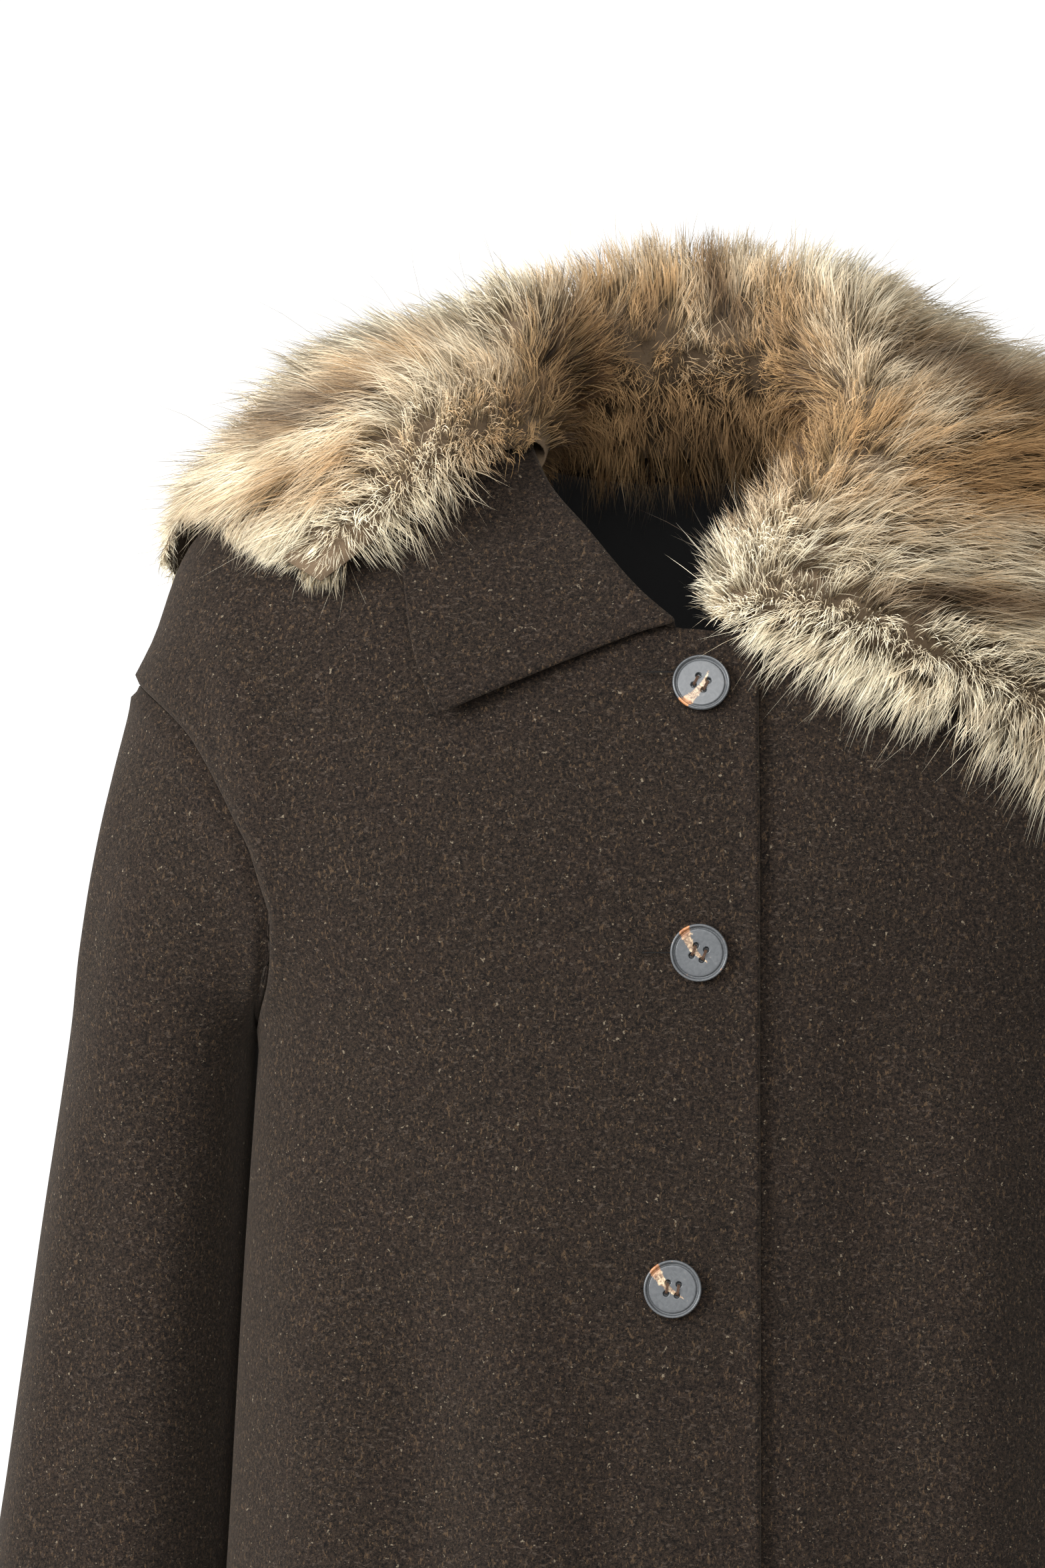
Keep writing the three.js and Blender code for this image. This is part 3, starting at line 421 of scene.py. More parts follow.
def distance_to(points, line):
    flat = points.reshape(-1, 3)
    best = np.full(len(flat), 1e9)
    for chunk in np.array_split(line, max(1, len(line) // 30)):
        gap = np.linalg.norm(flat[:, None] - chunk[None], axis=2).min(1)
        best = np.minimum(best, gap)
    return best.reshape(points.shape[:-1])


def welt(distance):
    """The height of cloth beside a seam: a sunk line and the pressed allowance under it."""
    allowance = ALLOWANCE_RISE * bell(distance, ALLOWANCE_AT, ALLOWANCE_WIDTH)
    return allowance - SEAM_DEPTH * bell(distance, 0, SEAM_WIDTH)


def grid_normals(points, wrap=False):
    if wrap:
        across = np.roll(points, -1, 1) - np.roll(points, 1, 1)
    else:
        across = np.gradient(points, axis=1)
    along = np.gradient(points, axis=0)
    return unit(np.cross(along, across))


def linked(name, data):
    obj = bpy.data.objects.new(name, data)
    bpy.context.scene.collection.objects.link(obj)
    return obj


def mesh_object(name, vertices, faces, material):
    mesh = bpy.data.meshes.new(name)
    mesh.from_pydata((vertices * MM).tolist(), [], faces)
    mesh.materials.append(material)
    mesh.shade_smooth()
    return linked(name, mesh)


def grid_faces(rows, columns, wrap=False):
    r = np.arange(rows - 1)[:, None]
    c = np.arange(columns if wrap else columns - 1)[None]
    n = (c + 1) % columns
    quads = np.stack([r * columns + c, r * columns + n, (r + 1) * columns + n, (r + 1) * columns + c], -1)
    return quads.reshape(-1, 4)


def shell(name, outer, out, thickness, material, wrap=False):
    """A thin closed shell inside a grid of points. out is a direction field that tells its outer side."""
    rows, columns = outer.shape[:2]
    normals = grid_normals(outer, wrap)
    if np.mean((normals * out).sum(-1)) < 0:
        normals = -normals
    inner = outer - normals * thickness
    soft = EDGE_SOFTNESS * thickness
    for points, way in ((outer, -soft), (inner, soft)):
        border = np.zeros((rows, columns), bool)
        border[0] = border[-1] = True
        if not wrap:
            border[:, 0] = border[:, -1] = True
        points[border] += normals[border] * way
    vertices = np.concatenate([outer.reshape(-1, 3), inner.reshape(-1, 3)])
    count = rows * columns
    top = grid_faces(rows, columns, wrap)
    faces = [top, top[:, ::-1] + count]
    row_line = np.arange(columns)
    loops = [row_line, row_line + (rows - 1) * columns]
    if wrap:
        loops = [np.append(line, line[0]) for line in loops]
    else:
        column_line = np.arange(rows) * columns
        loops += [column_line, column_line + columns - 1]
    for line, flip in zip(loops, (False, True, True, False)):
        quad = np.stack([line[1:], line[:-1], line[:-1] + count, line[1:] + count], -1)
        faces.append(quad[:, ::-1] if flip else quad)
    faces = np.concatenate(faces)
    obj = mesh_object(name, vertices, faces.tolist(), material)
    if signed_volume(vertices, faces) < 0:
        obj.data.flip_normals()
    return obj


def signed_volume(vertices, faces):
    a, b, c, d = (vertices[faces[:, k]] for k in range(4))
    return ((a * np.cross(b, c)).sum() + (a * np.cross(c, d)).sum()) / 6


BLACK, WHITE = (0, 0, 0), (1, 1, 1)


class Finish:
    """A material, with short calls for the nodes that make its colour and its relief."""

    def __init__(self, name, roughness, specular):
        self.material = bpy.data.materials.new(name)
        self.material.use_nodes = True
        self.nodes = self.material.node_tree.nodes
        self.links = self.material.node_tree.links
        self.shader = self.nodes["Principled BSDF"]
        self.feed(self.shader, {"Roughness": roughness, "Specular IOR Level": specular})

    def feed(self, node, inputs):
        """Gives each named socket a value or another node's output."""
        for socket, value in inputs.items():
            if isinstance(value, bpy.types.NodeSocket):
                self.links.new(value, node.inputs[socket])
            else:
                node.inputs[socket].default_value = value

    def node(self, kind, inputs):
        made = self.nodes.new(f"ShaderNode{kind}")
        self.feed(made, inputs)
        return made

    def attribute(self, name, output):
        made = self.node("Attribute", {})
        made.attribute_name = name
        return made.outputs[output]

    def noise(self, scale, detail, roughness=0.5, distortion=0, stretch=(1, 1, 1), turn=(0, 0, 0)):
        place = self.node("TexCoord", {}).outputs["Object"]
        mapping = self.node("Mapping", {"Vector": place, "Scale": stretch, "Rotation": turn})
        made = self.node("TexNoise", {
            "Vector": mapping.outputs["Vector"],
            "Scale": scale,
            "Detail": detail,
            "Roughness": roughness,
            "Distortion": distortion,
        })
        return made.outputs["Fac"]

    def ramp(self, value, *stops):
        made = self.node("ValToRGB", {"Fac": value})
        elements = made.color_ramp.elements
        while len(elements) < len(stops):
            elements.new(0.5)
        for element, (at, color) in zip(elements, stops):
            element.position = at
            element.color = (*color, 1)
        return made.outputs["Color"]

    def mix(self, amount, first, second):
        made = self.node("Mix", {})
        made.data_type = "RGBA"
        self.feed(made, {0: amount, 6: first, 7: second})
        return made.outputs[2]

    def weighted_sum(self, first, second, weight):
        made = self.node("Math", {})
        made.operation = "MULTIPLY_ADD"
        self.feed(made, {0: second, 1: weight, 2: first})
        return made.outputs["Value"]

    def relief(self, height, distance, strength):
        bump = self.node("Bump", {"Height": height, "Distance": distance, "Strength": strength})
        self.feed(self.shader, {"Normal": bump.outputs["Normal"]})


def wool_material():
    """Felted wool: a mottled ground with brown and grey fibres, pale flecks and a fine relief."""
    finish = Finish("wool", 0.95, 0.08)
    noise, ramp, mix = finish.noise, finish.ramp, finish.mix
    ground = ramp(noise(700, 5, 0.85), (0.42, (0.0007, 0.0004, 0.0003)), (0.6, (0.0108, 0.0071, 0.0048)))
    fibre = [(0.58, BLACK), (0.66, WHITE)]
    brown = ramp(noise(640, 3, 0.7, stretch=(1, 1, 0.5), turn=(0.3, 0.5, 0)), *fibre)
    grey = ramp(noise(640, 3, 0.7, stretch=(0.5, 1, 1), turn=(0, 0.6, 0.4)), *fibre)
    flecks = ramp(noise(440, 2), (0.7, BLACK), (0.74, WHITE))
    color = mix(brown, ground, (0.025, 0.0157, 0.0087, 1))
    color = mix(grey, color, (0.0185, 0.0136, 0.0102, 1))
    color = mix(flecks, color, (0.06, 0.048, 0.033, 1))
    finish.feed(finish.shader, {
        "Base Color": color,
        "Sheen Weight": 0.04,
        "Sheen Roughness": 0.4,
        "Sheen Tint": (0.8, 0.66, 0.52, 1),
    })
    finish.relief(finish.weighted_sum(noise(1300, 4, 0.7), noise(420, 3, 0.6), 0.8), 0.0007, 0.7)
    return finish.material


def plain_material(name, color, roughness):
    """One colour with a fine grain that varies its tone and raises its surface."""
    finish = Finish(name, roughness, 0.15)
    grain = finish.noise(900, 3)
    dark, light = ([tone * c for c in color] for tone in (0.7, 1.2))
    finish.feed(finish.shader, {"Base Color": finish.ramp(grain, (0, dark), (1, light))})
    finish.relief(grain, 0.0003, 0.5)
    return finish.material


def fur_material():
    """Each hair has its own colour, is lit by the way it lies and lets half of the light through."""
    finish = Finish("fur", 0.6, 0.25)
    color = finish.attribute("hair_color", "Color")
    finish.feed(finish.shader, {"Base Color": color, "Normal": finish.attribute("lie", "Vector")})
    glow = finish.node("BsdfTranslucent", {"Color": color})
    blend = finish.node("MixShader", {0: 0.5, 1: finish.shader.outputs["BSDF"], 2: glow.outputs["BSDF"]})
    finish.feed(finish.nodes["Material Output"], {"Surface": blend.outputs["Shader"]})
    return finish.material


def horn_material():
    """Satin slate horn with a cream and brown flame, which the button's own points place."""
    finish = Finish("horn", 0.4, 0.3)
    ramp, mix = finish.ramp, finish.mix
    grain = finish.noise(420, 5, distortion=1.2)
    ragged = finish.weighted_sum(finish.attribute("horn_flame", "Fac"), grain, 0.9)
    in_flame = ramp(ragged, (0.62, BLACK), (0.8, WHITE))
    slate = ramp(grain, (0.3, (0.022, 0.024, 0.026)), (0.7, (0.036, 0.038, 0.04)))
    pale_stops = [(0.35, (0.045, 0.028, 0.017)), (0.5, (0.12, 0.08, 0.05)), (0.65, (0.24, 0.19, 0.125))]
    pale = ramp(grain, *pale_stops)
    amber = ramp(grain, (0.3, (0.09, 0.03, 0.01)), (0.7, (0.24, 0.11, 0.045)))
    flame = mix(finish.attribute("at_rim", "Fac"), pale, amber)
    finish.feed(finish.shader, {"Base Color": mix(in_flame, slate, flame)})
    return finish.material


wool = wool_material()
horn = horn_material()
thread_brown = plain_material("thread_brown", (0.035, 0.018, 0.01), 0.8)
# The buttonhole slit's near-black colour is painted shadow: the shade inside the cut.
slit_painted_shadow = plain_material("slit", (0.002, 0.0017, 0.0015), 0.95)
# The neck patch's near-black colour is painted shade inside the neck opening.
neck_shade_black = plain_material("lining", (0.0012, 0.0012, 0.0013), 0.6)
# The pelt's dark brown is partly painted shade: it makes the ground under the hair read as shaded underfur.
pelt_shade_brown = plain_material("pelt", (0.05, 0.034, 0.02), 0.9)
fur = fur_material()


def mirrored(x, z):
    """A half panel's places with those of its mirror image."""
    return np.concatenate([-x[:, :0:-1], x], 1), np.concatenate([z[:, :0:-1], z], 1)


def make_front(side):
    x, z = half_panel(-1, -OVERLAP)
    if side > 0:
        lift = -UNDERLAP_DEPTH * (1 - smooth_step(*UNDERLAP_BLEND, x))
    else:
        lift = EDGE_RIDGE * bell(x + OVERLAP, EDGE_TURN, EDGE_TURN)
    place, normal = on_cloth(side * x, z, np.full(x.shape, -1), lift)
    place += normal * welt(distance_to(place, seam_line(side)))[..., None]
    return place, normal


def make_back():
    x, z = mirrored(*half_panel(1, 0))
    place, normal = on_cloth(x, z, np.full(x.shape, 1))
    lap = SIDE_LAP * (1 - smooth_step(UNDERARM_Z - SIDE_LAP_FADE, UNDERARM_Z, z[:, 0]))
    for edge, side in ((0, -1), (-1, 1)):
        place[:, edge] -= np.stack([side * lap, lap, 0 * lap], -1)
        place += normal * welt(distance_to(place, seam_line(side)))[..., None]
    return place, normal


def make_neck_shade_patch():
    """A near-black patch behind the back's neck: painted shade where the neck opening shows dark."""
    x, z = half_panel(1, 0, columns=40, lower_rows=2)
    x, z = mirrored(x[LINING_CELLS:, :LINING_CELLS], z[LINING_CELLS:, :LINING_CELLS])
    place, normal = on_cloth(x, z, np.full(x.shape, 1))
    return place - normal * (CLOTH + LINING_GAP), normal


def on_sleeve(side, angle, at):
    get = row_at(SLEEVE, at)
    inner = np.stack([side * get["inner_x"], get["middle"], get["inner_z"]], -1)
    outer = np.stack([side * get["outer_x"], get["middle"], get["outer_z"]], -1)

    def bend(v):
        return np.sign(v) * np.abs(v) ** (2 / SLEEVE_ROUNDNESS)

    turn = np.radians(angle)
    across = (outer - inner) / 2
    place = inner + across * (1 - bend(np.cos(turn)))[..., None]
    place[..., 1] -= get["depth"] * bend(np.sin(turn))
    width = np.linalg.norm(across, axis=-1)
    normal = unit(across) * (-bend(np.cos(turn)) * get["depth"])[..., None]
    normal[..., 1] -= bend(np.sin(turn)) * width
    normal = unit(normal)
    height = 0 * angle
    for fold_angle, start, end, spread, rise in rows_of(SLEEVE_FOLDS):
        ends = smooth_step(start, start + 1, at) * (1 - smooth_step(end - 1, end, at))
        height = height + rise * ends * bell(angle, fold_angle, spread)
    return place + normal * height[..., None], normal


def make_sleeve(side, columns=112, rows=92):
    angle = np.linspace(0, 360, columns, endpoint=False)
    x, z, face = armhole(angle)
    seam, seam_normal = on_cloth(side * x, z, face)
    shares = np.concatenate([[0, 0.0015], np.linspace(0.004, 0.994, rows), [0.998, 1]])
    at = SLEEVE["at"][-1] * shares[:, None] + 0 * angle
    place, normal = on_sleeve(side, angle + 0 * at, at)
    start = on_sleeve(side, angle, 0 * angle)[0]
    eased = np.maximum(0, 1 - at / SLEEVE_EASE) ** 2
    place += (seam - start)[None] * eased[..., None]
    place[..., 0] += side * SLEEVE_SET_OUT * np.exp(-at / SLEEVE_SET_FADE)
    way = seam.mean(0) - seam
    way -= seam_normal * (way * seam_normal).sum(-1, keepdims=True)
    tuck = SLEEVE_TUCK_IN * unit(way) + SLEEVE_TUCK_DOWN * seam_normal
    place -= tuck[None] * bell(at, 0, SLEEVE_TUCK_WIDTH)[..., None]
    place += normal * welt(distance_to(place, seam_line(side)))[..., None]
    return place, normal


def collar_line(side, angle, steps=60):
    """The stand and the fall of the collars at one angle round the neck, each as evenly spaced points."""
    get = row_at(COLLAR, np.array(float(angle)))
    x, z, face = neckline(np.array(float(angle)))
    under = side > 0 and face < 0
    lift = -UNDERLAP_DEPTH * (1 - smooth_step(*UNDERLAP_BLEND, x)) if under else 0.0
    base, normal = on_cloth(side * x, z, face, lift)
    roll = np.array([side * get["roll_x"], get["roll_y"], get["roll_z"]])
    foot = base + unit(np.array([0, NECK_AXIS_Y, 0]) - base) * 0.4
    rise = unit(roll - foot)
    back = unit(normal - rise * (normal @ rise))
    foot = foot - back * CLOTH
    away = unit(np.array([roll[0], roll[1] - NECK_AXIS_Y, 0]))
    bend = get["bend"]
    far = on_body(side * get["far_x"], get["far_z"], -1 if angle <= 90 else 1)
    share = np.linspace(0, 1, 15)[1:]
    fall = roll + (far - roll) * share[:, None]
    arch = COLLAR_ARCH[side] * bell(angle, ARCH_ANGLE, ARCH_SPREAD) * bell(share, ARCH_SHARE, ARCH_WIDTH)
    for step in range(3):
        slope = gradient(fall)
        steep = np.linalg.norm(slope, axis=1)
        short = COLLAR_CLEARANCE + arch - (level(fall) - 1) / steep
        push = (short + np.hypot(short, 2)) / 2 - (1 if step else 0)
        fall = fall + slope / steep[:, None] * push[:, None]
    line = np.vstack([
        foot,
        roll - away * bend + [0, 0, -1.2 * bend],
        roll,
        roll + away * bend + [0, 0, -bend],
        fall,
    ])
    for _ in range(3):
        near = line[:-1] * 0.75 + line[1:] * 0.25
        far_side = line[:-1] * 0.25 + line[1:] * 0.75
        cut = np.stack([near, far_side], 1).reshape(-1, 3)
        line = np.vstack([line[:1], cut, line[-1:]])
    top = np.argmin(np.linalg.norm(line - roll, axis=1))
    shares = np.linspace(0, 1, steps + 1)
    return spaced(line[: top + 1], shares), spaced(line[top:], shares)


LINE_STEPS = 60
LINE_ANGLES = np.linspace(0, 180, 121)
COLLAR_LINES = {
    side: [np.array(part) for part in zip(*(collar_line(side, angle, LINE_STEPS) for angle in LINE_ANGLES))]
    for side in (-1, 1)
}


def on_collar(side, angle, share, part):
    """Places on the stand (part 0) or the fall (part 1), at shares of its length."""
    grid = COLLAR_LINES[side][part]
    a = np.clip(np.asarray(angle) / 180 * (len(LINE_ANGLES) - 1), 0, len(LINE_ANGLES) - 1.001)
    s = np.clip(np.asarray(share) * LINE_STEPS, 0, LINE_STEPS - 0.001)
    i, j = a.astype(int), s.astype(int)
    u, v = (a - i)[..., None], (s - j)[..., None]
    low = grid[i, j] * (1 - v) + grid[i, j + 1] * v
    high = grid[i + 1, j] * (1 - v) + grid[i + 1, j + 1] * v
    return low * (1 - u) + high * u


def make_collar():
    stand_shares = np.concatenate([[0, 0.01], np.linspace(0.03, 1, 16)])
    fall_shares = np.concatenate([np.linspace(0, 0.985, 40)[1:], [0.995, 1]])
    half = np.concatenate([[0, 0.004], np.linspace(0.012, 1, 74)])
    angles = COLLAR_END_ANGLE + (180 - COLLAR_END_ANGLE) * half
    rows = []
    for side, order in ((-1, angles), (1, angles[-2::-1])):
        for angle in order:
            edge = look_up(COLLAR, "edge", np.array(angle))
            stand = on_collar(side, angle + 0 * stand_shares, stand_shares, 0)
            fall = on_collar(side, angle + 0 * fall_shares, fall_shares * edge, 1)
            fall[:, 1] -= COLLAR_CURL * bell(angle, 0, 45) * fall_shares**2
            rows.append(np.vstack([stand, fall]))
    return np.array(rows)


front_right = shell("wool_front_right", *make_front(-1), CLOTH, wool)
front_left = shell("wool_front_left", *make_front(1), CLOTH, wool)
back = shell("wool_back", *make_back(), CLOTH, wool)
sleeves = [
    shell(f"wool_sleeve_{name}", *make_sleeve(side), CLOTH, wool, wrap=True)
    for side, name in ((-1, "right"), (1, "left"))
]
collar_points = make_collar()
inward = np.array([0, NECK_AXIS_Y, 60]) - collar_points
on_stand = np.arange(collar_points.shape[1])[None, :, None] < COLLAR_STAND_COLUMNS
collar = shell("wool_collar", collar_points, np.where(on_stand, inward, [0, 0, 1]), CLOTH, wool)
# The near-black neck patch paints the shade inside the neck opening.
lining = shell("neck_lining", *make_neck_shade_patch(), LINING, neck_shade_black)

# Fur: locks of hairs and single guard hairs, which stand on a pelt. Each hair rises from it, leans over it
# and droops past its rim. The hairs at the pelt's two ends fan out from a parting.

LOCKS = 8800
LOCK_STRANDS = 14
GUARD_HAIRS = 6000
LOCK_RADIUS = 5
# How far hairs stray and curl: the locks' as shares of a hair's length, the guard hairs' in millimetres.
LOCK_STRAY, LOCK_CURL, STRAND_STRAY = 0.11, 0.08, 0.09
GUARD_STRAY, GUARD_CURL = 9, 4
LOCK_WIDTHS, GUARD_WIDTHS = (0.34, 0.58), (0.2, 0.34)
HAIR_STEPS = np.array([0.0, 0.34, 0.7, 1.0])
HAIR_LENGTH = 42
HAIR_REACH = 23
ROOT_DEPTH = 2
PELT = 2.4
RIM_OVERHANG = 6
RIM_DROOP = 7
END_SPAN = 0.1
END_FURROW = 0.35

# Tones of the fur as soft patches seen from the front (face -1) or the back (1). Each has its middle, its
# half length and half width, the angle that its length rises at, and how much it darkens or warms the fur.
FUR_PATCHES = table("face x z half_length half_width rise dark tan", [
    (-1, -196, 12, 36, 9, 25, 0.85, 0.5),
    (-1, -198, -28, 34, 13, 20, 0.25, 0.7),
    (-1, -150, 40, 26, 8, 30, 0.2, 0.4),
    (-1, -61, 37, 46, 28, 60, 0.5, 0.8),
    (-1, -22, 58, 20, 10, 80, 0.6, 0.6),
    (-1, 13, 76, 36, 9, 105, 0.95, 0.4),
    (-1, 8, 0, 56, 30, 0, 0.72, 0.9),
    (-1, -60, -6, 26, 16, 50, 0.6, 0.7),
    (-1, 46, 50, 34, 14, 100, 0.5, 0.7),
    (-1, 146, 27, 56, 12, -27, 0.88, 0.6),
    (-1, 158, -20, 38, 18, 10, 0.3, 0.9),
    (-1, 128, -87, 60, 7, -4, 0.92, 0.5),
    (-1, 84, 3, 22, 12, 40, 0.05, 0.4),
    (-1, 196, -50, 40, 9, -30, 0.5, 0.6),
    (1, -150, 10, 40, 12, 20, 0.8, 0.5),
    (1, 0, -40, 60, 16, 0, 0.6, 0.7),
    (1, 70, 40, 16, 30, 0, 0.7, 0.6),
    (1, 150, -30, 44, 12, -30, 0.8, 0.5),
    (1, -70, -90, 50, 12, 10, 0.7, 0.5),
    (1, 60, -110, 34, 9, -20, 0.6, 0.6),
])
CREAM = np.array([0.98, 0.9, 0.7])
TAN = np.array([0.6, 0.38, 0.18])
DARK = np.array([0.09, 0.05, 0.026])
# ROOT_AND_DEPTH_SHADE: the hairs' darker roots, and also painted shade deep in the pile between the locks.
ROOT_AND_DEPTH_SHADE = np.array([0.32, 0.23, 0.11])


def ripple(p, size, seed):
    """Smooth noise between about -1 and 1 at a given size in millimetres."""
    local = np.random.default_rng(seed)
    waves = local.normal(size=(6, 3)) * 2 / size
    return np.sin(p @ waves.T + local.uniform(0, 2 * math.pi, 6)).mean(-1) * 1.8


def fur_shares(stations, rows, stand_rows=15):
    """Where the fur grid's stations lie round the neck, and its rows on the stand and on the fall."""
    way = np.linspace(-1, 1, stations)[:, None] + np.zeros(rows)
    stand = np.ones(rows)
    stand[:stand_rows] = np.linspace(0.14, 1, stand_rows + 1)[:-1]
    fall = np.zeros(rows)
    fall[stand_rows:] = np.linspace(0, 1, rows - stand_rows)
    return way, stand + 0 * way, fall + 0 * way


def fur_base(way, stand, fall):
    """The underside of the fur's backing, as a grid of places."""
    grid = np.zeros((*way.shape, 3))
    for i, along in enumerate(way[:, 0]):
        side = -1 if along < 0 else 1
        neck, slant = FUR_END[side]
        reach = look_up(FUR_REACH, "reach", along)
        turn = 180 - abs(along) * (180 - neck - slant * fall[i] * reach)
        on_fall = on_collar(side, turn, fall[i] * reach, 1)
        on_stand = on_collar(side, turn, stand[i], 0)
        grid[i] = np.where(fall[i][:, None] > 0, on_fall, on_stand)
    return grid


def pile_height(way, stand, fall):
    on_fall = look_up(FUR_FALL_SHARE, "share", fall)
    share = np.where(fall > 0, on_fall, look_up(FUR_STAND_SHARE, "share", stand))
    trim = look_up(FUR_TRIM, "change", way) * smooth_step(0.3, 0.6, share)
    return look_up(FUR_CROWN, "height", np.abs(way)) * share + trim


def at_end(way):
    """0 along the collar, rising to 1 at either end."""
    return np.clip(1 - (1 - np.abs(way)) / END_SPAN, 0, 1)


def softened(field, passes=6):
    for _ in range(passes):
        field[1:-1] = (field[:-2] + 2 * field[1:-1] + field[2:]) / 4
        field[:, 1:-1] = (field[:, :-2] + 2 * field[:, 1:-1] + field[:, 2:]) / 4
    return unit(field)


class Pelt:
    """The ground that the hairs stand on. Each field is a grid that scatter() reads at random places."""

    def __init__(self, stations, rows):
        way, stand, fall = fur_shares(stations, rows)
        base = fur_base(way, stand, fall)
        normal = softened(grid_normals(base))
        if normal[stations // 2, rows - 10] @ [0, 1, 0] < 0:
            normal = -normal
        pile = pile_height(way, stand, fall)
        steps = np.linalg.norm(np.diff(base, axis=1), axis=2)
        to_rim = np.concatenate([np.cumsum(steps[:, ::-1], 1)[:, ::-1], np.zeros((stations, 1))], 1)
        past_right, past_left = (look_up(FUR_OVERHANG, side, fall) for side in ("right", "left"))
        overhang = np.where(way < 0, past_right, past_left)
        end = at_end(way)
        under = np.maximum(pile - HAIR_REACH, 0) * np.sqrt(1 - end**2)
        self.top = base + normal * (FUR_UNDER + under + 2.5)[..., None]
        down = unit(np.gradient(base, axis=1))
        around = unit(np.gradient(base, axis=0))
        a = self.top[1:, :-1] - self.top[:-1, :-1]
        b = self.top[:-1, 1:] - self.top[:-1, :-1]
        crowded = 1 + 1.1 * bell(to_rim, 6, 14) + 0.8 * end
        self.weights = np.linalg.norm(np.cross(a, b), axis=2) * crowded[1:, 1:]
        self.weights = self.weights / self.weights.sum()
        roots = self.top - ROOT_DEPTH * normal
        numbers = np.stack([way, stand, fall, pile, to_rim, overhang], -1)
        self.fields = np.concatenate([roots, normal, down, around, numbers], -1)
        self.normal = normal

    def scatter(self, count):
        cell = random.choice(self.weights.size, count, p=self.weights.ravel())
        i, j = np.unravel_index(cell, self.weights.shape)
        u, v = random.random(count)[:, None], random.random(count)[:, None]
        low = self.fields[i, j] * (1 - v) + self.fields[i, j + 1] * v
        high = self.fields[i + 1, j] * (1 - v) + self.fields[i + 1, j + 1] * v
        found = low * (1 - u) + high * u
        place, normal, down, around, numbers = np.split(found, [3, 6, 9, 12], axis=1)
        return place, unit(normal), unit(down), unit(around), numbers.T


def hair_course(normal, down, around, numbers):
    """How far a hair rises from the ground, and how far it leans over it, as a vector."""
    way, stand, fall, pile, to_rim, overhang = numbers
    rise = np.clip(pile, 4, HAIR_REACH)
    lean = np.sqrt(HAIR_LENGTH**2 - rise**2)
    lean = np.minimum(lean, to_rim + RIM_OVERHANG) * (1 - 0.45 * bell(way, -0.52, 0.16))
    on_stand = 0.35 - 1.05 * (1 - smooth_step(0.3, 1, stand))
    lay = np.where(fall > 0, 0.35 + 0.65 * smooth_step(0, 0.35, fall), on_stand)
    end = at_end(way)
    rise = rise * np.sqrt(1 - 0.9 * end**2)
    fanned = np.sign(way) * (end - END_FURROW) / (1 - END_FURROW) * (overhang + 2) * (end > 0)
    parted = smooth_step(0, END_FURROW, end) * smooth_step(0, 30, to_rim)
    swept = lean * lay * (1 - 0.85 * parted)
    droop = RIM_DROOP * (1 - smooth_step(5, 40, to_rim)) * (fall > 0)
    return rise, down * swept[:, None] + around * fanned[:, None] - normal * droop[:, None]


def hair_tones(place, spread):
    """Colours of hairs from the root to the tip, by the place of the part that shows."""
    count = len(place)
    dark, tan = np.zeros(count), 0.12 + 0.18 * ripple(place, 34, 3) + 0.12 * ripple(place, 11, 4)
    for face, x, z, half_length, half_width, rise, darkens, warms in rows_of(FUR_PATCHES):
        turn = math.radians(rise)
        east, up = place[:, 0] - x, place[:, 2] - z
        along = (east * math.cos(turn) + up * math.sin(turn)) / half_length
        across = (up * math.cos(turn) - east * math.sin(turn) + 3 * ripple(place, 16, 7)) / half_width
        seen = smooth_step(-20, 20, face * (place[:, 1] - 112))
        share = np.exp(-(along**2) - across**2) * seen
        dark = np.maximum(dark, 0.9 * darkens * share)
        tan = tan + 1.2 * warms * np.sqrt(share)
    dark = dark + 0.2 * np.maximum(0, ripple(place, 20, 5) - 0.5)
    dark = np.clip(dark + random.normal(size=count) * 0.09, 0, 0.95)[:, None]
    tan = np.clip(tan + random.normal(size=count) * spread, 0, 1)[:, None]
    tip = (CREAM * (1 - tan) + TAN * tan) * (1 - dark) + DARK * dark
    tip = tip * random.uniform(0.85, 1.1, count)[:, None]
    # Each hair darkens towards its root: the fur's own root colour, plus painted shade deep in the pile.
    root = ROOT_AND_DEPTH_SHADE * (1 - dark) + 0.7 * DARK * dark
    return np.stack([root, root * 0.45 + tip * 0.55, tip, tip], 1)


def hair_paths(place, normal, rise, lean, curl):
    t = HAIR_STEPS[None, :, None]
    up = normal[:, None] * rise[:, None, None] * (1 - (1 - t) ** 1.5)
    points = place[:, None] + up + lean[:, None] * t**1.3 + curl[:, None] * t**2
    root, span = points[:, :1], points[:, -1:] - points[:, :1]
    room = np.where(span > 0, FUR_HIGH - root, root - FUR_LOW) / np.maximum(np.abs(span), 1e-6)
    return root + (points - root) * np.clip(room.min(-1), 0.2, 1)[..., None]


